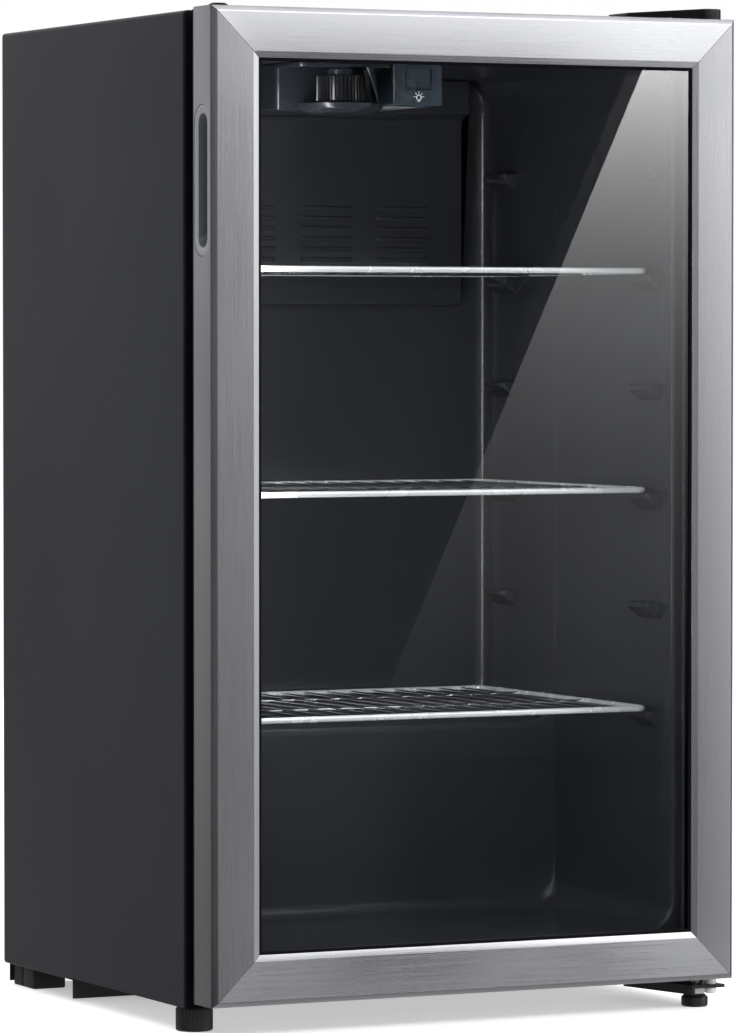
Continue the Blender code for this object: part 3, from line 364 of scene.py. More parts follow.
def relief(tree, shader, layers):
    # Bump nodes in a row, one for each (height, strength, distance).
    normal = None
    for height, strength, distance in layers:
        bump = tree.nodes.new("ShaderNodeBump")
        bump.inputs["Strength"].default_value = strength
        bump.inputs["Distance"].default_value = distance
        tree.links.new(height, bump.inputs["Height"])
        if normal:
            tree.links.new(normal, bump.inputs["Normal"])
        normal = bump.outputs["Normal"]
    tree.links.new(normal, shader.inputs["Normal"])


def brushedMetal(name, look):
    # Long fine scratches on the piece's own grain map: across is fine, along is stretched.
    made, tree, shader = newMaterial(
        name, look["colour"], look["roughness"], 1.0, Anisotropic=look["stretch"], IOR=2.2
    )
    fine = texture(tree, "ShaderNodeTexNoise", look["grain"], (1, 0.006, 1), "grain", Detail=3.0)
    broad = texture(tree, "ShaderNodeTexNoise", look["grain"] * 0.16, (1, 0.02, 1), "grain", Detail=2.0)
    cloud = texture(tree, "ShaderNodeTexNoise", 7.0, Detail=2.0)
    shade = [c * look["darkest"] for c in look["colour"]]
    streaks = tree.nodes.new("ShaderNodeMath")
    streaks.operation = "ADD"
    tree.links.new(spread(tree, fine, 0, 0.55), streaks.inputs[0])
    tree.links.new(spread(tree, broad, 0, 0.45), streaks.inputs[1])
    tree.links.new(tint(tree, streaks.outputs[0], shade, look["colour"]), shader.inputs["Base Color"])
    rough = tree.nodes.new("ShaderNodeMath")
    rough.operation = "ADD"
    tree.links.new(spread(tree, fine, -0.03, 0.05), rough.inputs[0])
    tree.links.new(spread(tree, cloud, look["roughness"] - 0.02, look["roughness"] + 0.03), rough.inputs[1])
    tree.links.new(rough.outputs[0], shader.inputs["Roughness"])
    relief(tree, shader, [(fine, look["depth"], 0.0002)])
    tangent = tree.nodes.new("ShaderNodeTangent")
    tangent.direction_type = "UV_MAP"
    tangent.uv_map = "grain"
    tree.links.new(tangent.outputs["Tangent"], shader.inputs["Tangent"])
    return made


def mouldedPlastic(name, look):
    # Fine spark-eroded grain over a slow change of shade and gloss.
    made, tree, shader = newMaterial(name, look["colour"], look["roughness"], **look.get("sockets", {}))
    grain = texture(tree, "ShaderNodeTexNoise", look["grain"], Detail=4.0, Roughness=0.6)
    cloud = texture(tree, "ShaderNodeTexNoise", look.get("cloud", 9.0), Detail=3.0)
    dark = [c * look.get("darkest", 0.82) for c in look["colour"]]
    tree.links.new(tint(tree, spread(tree, cloud, 0, 1), dark, look["colour"]), shader.inputs["Base Color"])
    vary = look.get("vary", 0.05)
    rough = spread(tree, cloud, look["roughness"] + vary, look["roughness"] - vary)
    tree.links.new(rough, shader.inputs["Roughness"])
    relief(tree, shader, [(grain, look["depth"], 0.0004)])
    return made


def spangledSheet(name, look):
    # Zinc crystals as cells of slightly different shade and gloss, with faint rolling lines.
    made, tree, shader = newMaterial(name, look["colour"], look["roughness"], 0.75)
    mapping = tree.nodes.new("ShaderNodeMapping")
    coordinates = tree.nodes.new("ShaderNodeTexCoord")
    tree.links.new(coordinates.outputs["Object"], mapping.inputs["Vector"])
    cells = tree.nodes.new("ShaderNodeTexVoronoi")
    cells.inputs["Scale"].default_value = look["cells"]
    tree.links.new(mapping.outputs["Vector"], cells.inputs["Vector"])
    grey = tree.nodes.new("ShaderNodeSeparateColor")
    tree.links.new(cells.outputs["Color"], grey.inputs["Color"])
    dark = [c * 0.86 for c in look["colour"]]
    tree.links.new(tint(tree, grey.outputs[0], dark, look["colour"]), shader.inputs["Base Color"])
    rough = spread(tree, grey.outputs[1], look["roughness"] - 0.08, look["roughness"] + 0.08, 0, 1)
    tree.links.new(rough, shader.inputs["Roughness"])
    rolled = texture(tree, "ShaderNodeTexNoise", 300, (1, 1, 0.03), Detail=2.0)
    relief(tree, shader, [(rolled, 0.10, 0.0003)])
    return made


def platedMetal(name, look):
    # Bright plating with a soft change of gloss and faint drawing marks along Z.
    made, tree, shader = newMaterial(name, look["colour"], look["roughness"], look.get("metallic", 1.0))
    cloud = texture(tree, "ShaderNodeTexNoise", look.get("cloud", 60.0), Detail=3.0)
    dark = [c * look.get("darkest", 0.8) for c in look["colour"]]
    tree.links.new(tint(tree, spread(tree, cloud, 0, 1), dark, look["colour"]), shader.inputs["Base Color"])
    rough = spread(tree, cloud, look["roughness"] - 0.03, look["roughness"] + 0.06)
    tree.links.new(rough, shader.inputs["Roughness"])
    marks = texture(tree, "ShaderNodeTexNoise", 900, (1, 1, 1), Detail=2.0)
    relief(tree, shader, [(marks, look.get("depth", 0.05), 0.0002)])
    return made


def clearGlass(name, look):
    # Light passes straight through with a faint tint. Only the side that faces out mirrors, by Fresnel.
    made = bpy.data.materials.new(name)
    made.use_nodes = True
    tree = made.node_tree
    tree.nodes.clear()
    out = tree.nodes.new("ShaderNodeOutputMaterial")
    through = tree.nodes.new("ShaderNodeBsdfTransparent")
    through.inputs["Color"].default_value = (*look["tint"], 1)
    gloss = tree.nodes.new("ShaderNodeBsdfGlossy")
    gloss.inputs["Color"].default_value = (*look["shine"], 1)
    smear = texture(tree, "ShaderNodeTexNoise", 5.0, (1, 1, 0.5), Detail=3.0)
    tree.links.new(spread(tree, smear, 0.0, look["haze"]), gloss.inputs["Roughness"])
    fresnel = tree.nodes.new("ShaderNodeFresnel")
    fresnel.inputs["IOR"].default_value = look["ior"]
    facing = tree.nodes.new("ShaderNodeNewGeometry")
    front = spread(tree, facing.outputs["Backfacing"], 1, 0, 0, 1)
    share = tree.nodes.new("ShaderNodeMath")
    share.operation = "MULTIPLY"
    tree.links.new(fresnel.outputs[0], share.inputs[0])
    tree.links.new(front, share.inputs[1])
    mix = tree.nodes.new("ShaderNodeMixShader")
    tree.links.new(share.outputs[0], mix.inputs[0])
    tree.links.new(through.outputs[0], mix.inputs[1])
    tree.links.new(gloss.outputs[0], mix.inputs[2])
    tree.links.new(mix.outputs[0], out.inputs["Surface"])
    made.diffuse_color = (*look["tint"], 0.3)
    return made


looks = {
    "steel": {
        "colour": (0.648, 0.655, 0.690), "roughness": 0.27,
        "stretch": 0.85, "grain": 1500, "darkest": 0.945, "depth": 0.04
    },
    "charcoal": {
        "colour": (0.0185, 0.0198, 0.0252), "roughness": 0.46,
        "grain": 2600, "depth": 0.10, "cloud": 3.0, "darkest": 0.92,
        "sockets": {"Specular_IOR_Level": 0.20},
    },
    "black": {"colour": (0.0110, 0.0110, 0.0125), "roughness": 0.42, "grain": 2200, "depth": 0.12},
    "blackPaint": {
        "colour": (0.0100, 0.0100, 0.0110), "roughness": 0.34, "grain": 900, "depth": 0.10, "cloud": 30.0
    },
    "ribbed": {"colour": (0.0140, 0.0145, 0.0170), "roughness": 0.26, "grain": 1800, "depth": 0.05},
    "liner": {
        "colour": (0.0300, 0.0320, 0.0385), "roughness": 0.23,
        "grain": 160, "depth": 0.05, "cloud": 4.0, "vary": 0.03
    },
    "slate": {"colour": (0.0330, 0.0460, 0.0620), "roughness": 0.28, "grain": 1500, "depth": 0.06},
    "slateDark": {"colour": (0.0180, 0.0210, 0.0270), "roughness": 0.24, "grain": 1500, "depth": 0.05},
    "grey": {"colour": (0.200, 0.204, 0.216), "roughness": 0.34, "grain": 1700, "depth": 0.07},
    "coverBlack": {"colour": (0.0040, 0.0040, 0.0052), "roughness": 0.36, "grain": 1500, "depth": 0.08,
        "sockets": {"Specular_IOR_Level": 0.30}},
    # Black plastic made darker and duller than plain black: painted shade on the door's back frame and on the
    # strip at the cabinet's front bend, also used on the black glass bead.
    "blackAndShade": {
        "colour": (0.0022, 0.0022, 0.0030), "roughness": 0.55, "grain": 1900, "depth": 0.08,
        "sockets": {"Specular_IOR_Level": 0.05},
    },
    "rubber": {"colour": (0.0085, 0.0085, 0.0090), "roughness": 0.62, "grain": 1300, "depth": 0.20},
    "foam": {"colour": (0.72, 0.62, 0.36), "roughness": 0.90, "grain": 420, "depth": 0.80},
    "lens": {"colour": (0.30, 0.31, 0.31), "roughness": 0.22, "grain": 700, "depth": 0.10},
    "print": {"colour": (0.78, 0.80, 0.82), "roughness": 0.50, "grain": 2500, "depth": 0.05, "darkest": 0.95},
    # pocket: the finger pocket's bowl, darker than its rim as painted shade in the recess.
    "pocket": {"colour": (0.0440, 0.0500, 0.0540), "roughness": 0.40, "grain": 1700, "depth": 0.08},
}
steel = brushedMetal("brushedSteel", looks["steel"])
charcoal = mouldedPlastic("charcoalPaint", looks["charcoal"])
black = mouldedPlastic("blackPlastic", looks["black"])
blackPaint = mouldedPlastic("blackPaint", looks["blackPaint"])
ribbedBlack = mouldedPlastic("dialPlastic", looks["ribbed"])
linerPlastic = mouldedPlastic("linerPlastic", looks["liner"])
slate = mouldedPlastic("slatePlastic", looks["slate"])
slateDark = mouldedPlastic("slateDarkPlastic", looks["slateDark"])
greyPlastic = mouldedPlastic("greyPlastic", looks["grey"])
shadedBowlPlastic = mouldedPlastic("shadedBowlPlastic", looks["pocket"])
coverBlack = mouldedPlastic("coverPlastic", looks["coverBlack"])
blackAndShade = mouldedPlastic("blackAndShadePlastic", looks["blackAndShade"])
rubber = mouldedPlastic("sealRubber", looks["rubber"])
foam = mouldedPlastic("insulationFoam", looks["foam"])
lens = mouldedPlastic("lampLens", looks["lens"])
printInk = mouldedPlastic("printInk", looks["print"])
zinc = platedMetal(
    "zincPlate", {"colour": (0.78, 0.78, 0.77), "roughness": 0.34, "cloud": 90.0, "metallic": 0.55}
)
shelfBar = platedMetal(
    "shelfBar", {"colour": (0.88, 0.89, 0.91), "roughness": 0.24, "darkest": 0.94, "metallic": 0.45}
)
chrome = platedMetal(
    "chromeWire", {"colour": (0.86, 0.87, 0.89), "roughness": 0.10, "darkest": 0.92, "depth": 0.02}
)
copper = platedMetal(
    "copperPipe", {"colour": (0.78, 0.38, 0.24), "roughness": 0.24, "darkest": 0.6, "cloud": 70.0}
)
spacerBar = platedMetal("spacerBar", {"colour": (0.055, 0.055, 0.060), "roughness": 0.45})
galvanised = spangledSheet(
    "galvanisedSheet", {"colour": (0.52, 0.53, 0.54), "roughness": 0.42, "cells": 150.0}
)
glass = clearGlass("clearGlass", {"tint": (0.985, 0.99, 0.99), "shine": (1, 1, 1), "haze": 0.015, "ior": 1.9})
innerGlass = clearGlass(
    "coatedGlass", {"tint": (0.98, 0.985, 0.985), "shine": (1, 1, 1), "haze": 0.02, "ior": 1.12}
)
print("materials made:", len(bpy.data.materials))


# Door

doorEdges = (
    (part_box("frame_left")[0].x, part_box("frame_bottom")[0].z),
    (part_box("frame_right")[1].x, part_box("frame_top")[1].z),
)
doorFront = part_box("frame_left")[0].y
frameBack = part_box("frame_left")[1].y
gap = 0.0003

frameRails = {
    "face": 0.0412,  # width of a rail seen from the front
    "wall": 0.0030,
    "chamfer": 0.0044,
    "chamferRound": 0.0013,
    "lip": 0.0052,  # sloped strip beside the glass
    "lipDrop": 0.0014,
    "lipRound": 0.0010,
}


def makeRail(side):
    # One mitred side: each profile point runs to the corner's diagonal, less half the joint's gap.
    f = frameRails
    corners = [
        (0, doorFront + f["chamfer"]),
        (f["chamfer"], doorFront),
        (f["face"] - f["lip"], doorFront),
        (f["face"], doorFront + f["lipDrop"]),
        (f["face"], doorFront + f["wall"]),
        (f["wall"], doorFront + f["wall"]),
        (f["wall"], frameBack),
        (0, frameBack),
    ]
    radii = [f["chamferRound"], f["chamferRound"], f["lipRound"], 0.0004, 0.0003, 0.0008, 0.0003, 0.0003]
    profile = filleted(corners, radii, 4)
    (left, low), (right, high) = doorEdges
    inward, depth = profile[:, 0], profile[:, 1]
    reach = inward + gap / math.sqrt(2)
    if side in ("left", "right"):
        x = left + inward if side == "left" else right - inward
        ends = [np.stack([x, depth, low + reach], 1), np.stack([x, depth, high - reach], 1)]
        start, stop = ends[0][:, 2], ends[1][:, 2]
    else:
        z = low + inward if side == "bottom" else high - inward
        ends = [np.stack([left + reach, depth, z], 1), np.stack([right - reach, depth, z], 1)]
        start, stop = ends[0][:, 0], ends[1][:, 0]
    steps = np.linspace(0, 1, 25)[:, None, None]
    rings = ends[0] + (ends[1] - ends[0]) * steps
    along = start + (stop - start) * steps[:, :, 0]
    walked = np.cumsum(np.r_[0, np.linalg.norm(np.diff(profile, axis=0), axis=1)])
    uv = np.stack([np.broadcast_to(walked, along.shape), along], -1).reshape(-1, 2)
    name = f"rail_{side}"
    parts = [loft(rings)]
    return addMesh(name, parts, steel, "door", [f"frame_{side}"], 24, uv)


rails = {side: makeRail(side) for side in ("left", "right", "top", "bottom")}


def stadium(middleA, middleB, width, length, steps=14):
    # Two half circles joined by straight sides, long in b.
    radius = width / 2
    turn = np.linspace(0, math.pi, steps)
    top = np.stack(
        [middleA + radius * np.cos(turn), middleB + length / 2 - radius + radius * np.sin(turn)], 1
    )
    low = np.stack(
        [middleA - radius * np.cos(turn), middleB - length / 2 + radius - radius * np.sin(turn)], 1
    )
    return np.concatenate([top, low])


pocketLow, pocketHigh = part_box("pocket_handle")
pocketMiddle = (pocketLow + pocketHigh) / 2
pocketHole = stadium(
    pocketMiddle.y, pocketMiddle.z, pocketHigh.y - pocketLow.y + 0.0005, pocketHigh.z - pocketLow.z + 0.0005
)
pocketSides = (pocketLow.x - 0.005, pocketHigh.x + 0.0006)
pocketCutter = loft([place("X", *pocketHole.T, x) for x in pocketSides])
cutOut(rails["left"], *pocketCutter)

backRing = {"round": 0.0010, "corner": 0.0020}
railWall = frameRails["wall"]
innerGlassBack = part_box("inner_glass")[1].y
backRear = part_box("door_back_frame")[1].y
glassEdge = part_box("outer_glass")[0].x - doorEdges[0][0]
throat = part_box("door_gasket")[0].x - doorEdges[0][0] + 0.0090
backProfile = filleted(
    [
        (railWall + gap, doorFront + railWall + gap),
        (glassEdge - gap, doorFront + railWall + gap),
        (glassEdge - gap, innerGlassBack + 0.0004),
        (glassEdge + 0.0062, innerGlassBack + 0.0004),
        (glassEdge + 0.0062, innerGlassBack + 0.0060),
        (throat, backRear),
        (0.0015, backRear),
        (0.0015, frameBack + gap),
        (railWall + gap, frameBack + gap),
    ],
    [0.0003, 0.0003, 0.0002, 0.0008, 0.0030, 0.0020, 0.0008, 0.0003, 0.0003],
)
backFrame = addMesh(
    "back_frame", [doorRing(backProfile, backRing["corner"])],
    blackAndShade, "door", ["door_back_frame"]
)
cutOut(backFrame, *pocketCutter)
# The frame's black is painted shade for the gap behind the door; its inner faces, seen through the glass, are
# dark grey like the liner.
backFrame.data.materials.append(linerPlastic)
doorMiddle = Vector((sum(edge[0] for edge in doorEdges) / 2, 0, sum(edge[1] for edge in doorEdges) / 2))
for face in backFrame.data.polygons:
    inwards = doorMiddle - face.center
    inwards.y = 0
    if face.center.y > innerGlassBack + 0.0003 and face.normal.dot(inwards) > 0.01:
        face.material_index = 1

# The black line round the opening is a bead that seals the glass to the steel.
bead = {"width": 0.0026, "round": 0.0006}
beadFront = doorFront + frameRails["lipDrop"] + 0.0003
beadProfile = filleted(
    [
        (frameRails["face"] - 0.0003, beadFront),
        (frameRails["face"] + bead["width"], beadFront + 0.0006),
        (frameRails["face"] + bead["width"], doorFront + railWall + 0.0001),
        (frameRails["face"] - 0.0003, doorFront + railWall + 0.0001),
    ],
    bead["round"],
)
addMesh("glass_bead", [doorRing(beadProfile, 0.0)], blackAndShade, "door")

# Gasket: a foot, a thin concertina waist and a soft tube, as a seal is extruded.
gasketLow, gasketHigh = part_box("door_gasket")
gasketIn = gasketLow.x - doorEdges[0][0]
gasketWide, gasketDeep = 0.0075, gasketHigh.y - gasketLow.y
share = np.array(
    [
        (0.00, 0.00), (1.00, 0.00), (1.00, 0.14), (0.78, 0.20),
        (0.78, 0.27), (0.98, 0.34), (0.98, 0.40), (0.78, 0.46),
        (0.78, 0.52), (1.00, 0.60), (1.00, 0.92), (0.90, 1.00),
        (0.10, 1.00), (0.00, 0.92), (0.00, 0.60), (0.22, 0.52),
        (0.22, 0.46), (0.02, 0.40), (0.02, 0.34), (0.22, 0.27), (0.22, 0.20), (0.00, 0.14),
    ]
)
gasketProfile = filleted(share * (gasketWide, gasketDeep) + (gasketIn, gasketLow.y), 0.0004, 3)
addMesh("gasket", [doorRing(gasketProfile, 0.012)], rubber, "door", ["door_gasket"])
print("door frame made")

def makePocket():
    # Rings from the cup's hidden back, over the flange's rounded rim, and down the sloped bowl to its bed.
    low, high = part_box("pocket_handle")
    middleY, middleZ = (low.y + high.y) / 2, (low.z + high.z) / 2
    wide, long = high.y - low.y, high.z - low.z
    deep = high.x - low.x
    mouthWide, mouthLong = 0.0170, 0.1077
    wall = 0.0018
    levels = [
        (deep, mouthWide * 0.55, mouthLong * 0.60),
        (deep, mouthWide * 0.80 + wall, mouthLong * 0.80),
        (0.0017, mouthWide + 2 * wall, mouthLong + 2 * wall),
        (0.0015, wide - 0.0004, long - 0.0004),
        (0.0007, wide, long),
        (0.0003, wide - 0.0004, long - 0.0004),
        (0.0000, wide - 0.0016, long - 0.0016),
        (0.0000, wide - 0.0060, long - 0.0060),
        (0.0004, wide - 0.0090, long - 0.0090),
        (0.0005, mouthWide + 0.0016, mouthLong + 0.0016),
        (0.0009, mouthWide + 0.0002, mouthLong + 0.0002),
        (0.0030, mouthWide - 0.0008, mouthLong - 0.0030),
        (deep * 0.45, mouthWide * 0.90, mouthLong - deep * 0.60),
        (deep * 0.80, mouthWide * 0.82, mouthLong - deep * 1.10),
        (deep - wall - 0.0002, mouthWide * 0.60, mouthLong - deep * 1.50),
        (deep - wall, mouthWide * 0.20, mouthLong - deep * 1.90),
    ]
    rings = []
    for inward, width, length in levels:
        outline = stadium(middleY, middleZ, width, length)
        rings.append(place("X", outline[:, 0], outline[:, 1], low.x + inward))
    piece = addMesh(
        "finger_pocket", [loft(rings)], greyPlastic, "door", ["pocket_handle"], 40
    )
    # The bowl is coloured darker than its rim: painted shade in the recess.
    piece.data.materials.append(shadedBowlPlastic)
    count = rings[0].shape[0]
    band = np.zeros(len(piece.data.polygons), np.int32)
    first = 10 * count
    band[first : (len(rings) - 1) * count] = 1
    band[-1] = 1
    piece.data.polygons.foreach_set("material_index", band)


makePocket()

plugLow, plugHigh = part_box("hinge_hole_plug")
plugAt = ((plugLow.x + plugHigh.x) / 2, (plugLow.y + plugHigh.y) / 2)
plugRadius = (plugHigh.x - plugLow.x) / 2
plugProfile = softProfile(
    [
        (0, plugLow.z), (0.0026, plugLow.z), (0.0029, plugLow.z + 0.0012), (0.0029, plugHigh.z - 0.0022),
        (plugRadius, plugHigh.z - 0.0022), (plugRadius, plugHigh.z - 0.0014),
        (plugRadius - 0.0020, plugHigh.z),
        (0, plugHigh.z),
    ],
    0.0006,
)
addMesh(
    "hole_plug", [turnedPart(plugProfile, plugAt)], coverBlack, "door", ["hinge_hole_plug"]
)
print("door trim made")


# Cabinet

wrapLow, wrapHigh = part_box("cabinet_wrap")
# trim: the depth of the black strip at the front bend, which is painted shade for the gap behind the door.
wrapSheet = {"bend": 0.0030, "frontBend": 0.0012, "sheet": 0.0008, "flange": 0.0150, "trim": 0.0052}


def archRings(section):
    # The section of (inward, depth) carried up one side, over the top and down the other.
    turn = np.linspace(0, math.pi / 2, 9)
    rise = np.linspace(0, 1, 12)
    rings = []
    inward, depth = section[:, 0], section[:, 1]
    bend = np.maximum(wrapSheet["bend"] - inward, 0.0001)
    high = wrapHigh.z - inward
    left, right = wrapLow.x + inward, wrapHigh.x - inward
    for t in rise:
        rings.append(np.stack([left, depth, wrapLow.z + (high - bend - wrapLow.z) * t], 1))
    for t in turn[1:]:
        rings.append(np.stack([left + bend * (1 - math.cos(t)), depth, high - bend * (1 - math.sin(t))], 1))
    for t in rise[1:-1]:
        rings.append(np.stack([left + bend + (right - left - 2 * bend) * t, depth, high], 1))
    for t in turn[:0:-1]:
        rings.append(np.stack([right - bend * (1 - math.cos(t)), depth, high - bend * (1 - math.sin(t))], 1))
    for t in rise[::-1]:
        rings.append(np.stack([right, depth, wrapLow.z + (high - bend - wrapLow.z) * t], 1))
    return loft(rings)


def makeWrap():
    w = wrapSheet
    front = wrapLow.y + w["trim"]
    section = filleted(
        [
            (w["flange"], front), (0, front), (0, wrapHigh.y), (w["sheet"], wrapHigh.y),
            (w["sheet"], front + w["sheet"]), (w["flange"], front + w["sheet"]),
        ],
        [0.0002, w["frontBend"], 0.0003, 0.0003, 0.0004, 0.0002],
        4,
    )
    addMesh("outer_wrap", [archRings(section)], charcoal, "cabinet", ["cabinet_wrap"])
    # A black strip over the front bend: painted shade for the gap between the cabinet and the door.
    strip = filleted(
        [
            (w["flange"], wrapLow.y), (0, wrapLow.y), (0, front - 0.0002), (0.0040, front - 0.0002),
            (0.0040, wrapLow.y + 0.0012), (w["flange"], wrapLow.y + 0.0012),
        ],
        [0.0002, w["frontBend"], 0.0004, 0.0003, 0.0004, 0.0002],
        4,
    )
    addMesh("shade_strip", [archRings(strip)], blackAndShade, "cabinet")


makeWrap()

linerLow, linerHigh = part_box("inner_liner")
compartment = {
    "side": 0.0313,  # liner wall from the cabinet's outside
    "top": 0.0348,
    "floor": 0.0440,
    "back": 0.1750,
    "corner": 0.0240,
    "lip": 0.0035,  # rounding from the flange into the walls
    "deepCorner": 0.0120,
    "stepFront": 0.0420,
    "stepTop": 0.2335,
    "wall": 0.0018,
}


def makeLinerShell():
    # Inside and outside rings make one closed surface: in along the inside, and back along the outside.
    c = compartment
    side = wrapHigh.x - c["side"]
    low, high = wrapLow.z + c["floor"], wrapHigh.z - c["top"]
    lip, deep, wall = c["lip"], c["deepCorner"], c["wall"]
    inside, outside = [], []

    def ring(grow, y, floorAt, corner=c["corner"]):
        outline = roundedRect(
            -side - grow, floorAt - grow, side + grow, high + grow, max(corner + grow, 0.003), 10
        )
        return place("Y", outline[:, 0], outline[:, 1], y)

    rim = roundedRect(linerLow.x, linerLow.z, linerHigh.x, linerHigh.z, 0.0020, 10)
    inside.append(place("Y", *rim.T, linerLow.y + wall))
    inside.append(place("Y", *rim.T, linerLow.y + 0.0004))
    inside.append(place("Y", *shrunk(rim, 0.0004).T, linerLow.y))
    for t in np.linspace(0, math.pi / 2, 7):
        inside.append(ring(lip * (1 - math.sin(t)), linerLow.y + lip * (1 - math.cos(t)), low))
    for y in np.linspace(linerLow.y + 0.02, c["stepFront"] - deep, 9):
        inside.append(ring(0, y, low))
    for t in np.linspace(0, math.pi / 2, 7)[1:]:
        inside.append(ring(0, c["stepFront"] - deep * (1 - math.sin(t)), low + deep * (1 - math.cos(t))))
    for z in np.linspace(low + deep, c["stepTop"] - deep, 6)[1:]:
        inside.append(ring(0, c["stepFront"], z))
    for t in np.linspace(0, math.pi / 2, 7)[1:]:
        inside.append(
            ring(0, c["stepFront"] + deep * (1 - math.cos(t)), c["stepTop"] - deep * (1 - math.sin(t)))
        )
    for y in np.linspace(c["stepFront"] + deep, c["back"] - deep, 5)[1:]:
        inside.append(ring(0, y, c["stepTop"]))
    for t in np.linspace(0, math.pi / 2, 7)[1:]:
        inside.append(ring(-deep * (1 - math.cos(t)), c["back"] - deep * (1 - math.sin(t)), c["stepTop"]))
    outside.append(ring(wall, c["back"] + wall, c["stepTop"]))
    outside.append(ring(wall, c["stepFront"] + wall, c["stepTop"]))
    outside.append(ring(wall, c["stepFront"] + wall, low))
    outside.append(ring(wall, linerLow.y + wall, low))
    # Both ends of the inside row are closed by the walls: the back panels face each other.
    rows = list(reversed(inside)) + list(reversed(outside))
    return loft(rows)


shelfRests = {"first": 0.2468, "pitch": 0.0925, "levels": 6, "long": 0.0380, "reach": 0.0120, "high": 0.0150}


def makeRests():
    # Each rest is a wedge, flat on top and sloped below, whose edges are rounded along its length.
    r = shelfRests
    wall = wrapHigh.x - compartment["side"]
    parts = []
    for level in range(r["levels"]):
        top = r["first"] + r["pitch"] * level
        for side in (-1, 1):
            for y in (wrapLow.y + 0.0200, compartment["back"] - r["long"] - 0.0200):
                outline = filleted(
                    [
                        (side * (wall + 0.001), top - r["high"]),
                        (side * (wall - r["reach"]), top - r["high"] / 3),
                        (side * (wall - r["reach"]), top),
                        (side * (wall + 0.001), top),
                    ],
                    [0, 0.0025, 0.0025, 0],
                )
                parts.append(slab(outline, "Y", y, y + r["long"], 0.0020))
    return parts


addMesh(
    "liner", [makeLinerShell()] + makeRests(), linerPlastic, "cabinet", ["inner_liner"], 40
)
print("cabinet shell made")


# Shelves

shelf = {"border": 0.0025, "wire": 0.0016, "cross": 0.0018, "wires": 17, "corner": 0.0120}


def makeShelf(node, body):
    # A loop of round bar, thinner rods from its front to its back, and two rods across under them.
    low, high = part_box(node)
    s = shelf
    r = s["border"]
    middle = (low.z + high.z) / 2
    outline = roundedRect(low.x + r, low.y + r, high.x - r, high.y - r, s["corner"] - r, 6)
    keep = np.linalg.norm(outline - np.roll(outline, 1, 0), axis=1) > 1e-7
    loop = place("Z", *outline[keep].T, middle)
    border = tube(loop, r, 16, closed=True)
    parts = [border]
    for x in np.linspace(low.x + 0.024, high.x - 0.024, s["wires"]):
        path = [(x, low.y + r * 1.8, middle), (x, high.y - r * 1.8, middle)]
        parts.append(tube(path, s["wire"], 12))
    for y in (low.y + 0.115, high.y - 0.075):
        path = [(low.x + r, y, low.z + s["cross"]), (high.x - r, y, low.z + s["cross"])]
        parts.append(tube(path, s["cross"], 12))
    piece = addMesh(node.replace("shelf", "wire_shelf"), parts, chrome, body, [node], 50)
    # The border has a satin finish, the rods are bright.
    piece.data.materials.append(shelfBar)
    which = np.zeros(len(piece.data.polygons), np.int32)
    which[: len(border[1])] = 1
    piece.data.polygons.foreach_set("material_index", which)


for level in ("lower", "middle", "upper"):
    makeShelf(f"{level}_shelf", f"{level}_rack")
print("shelves made")


# Controls

controls = {
    "block": 0.0455,  # width of the block that holds the switch
    "shift": 0.0032,  # switch opening, to the right of the rocker's node
    "window": (0.0125, 0.0085),  # half width and half height of the switch's opening
    "frame": 0.0016,
    "panRadius": 0.0360,
    "ribs": 40,
    "wheel": 0.0205,
    "canopy": 0.0042,
    "sign": 1.25,
}


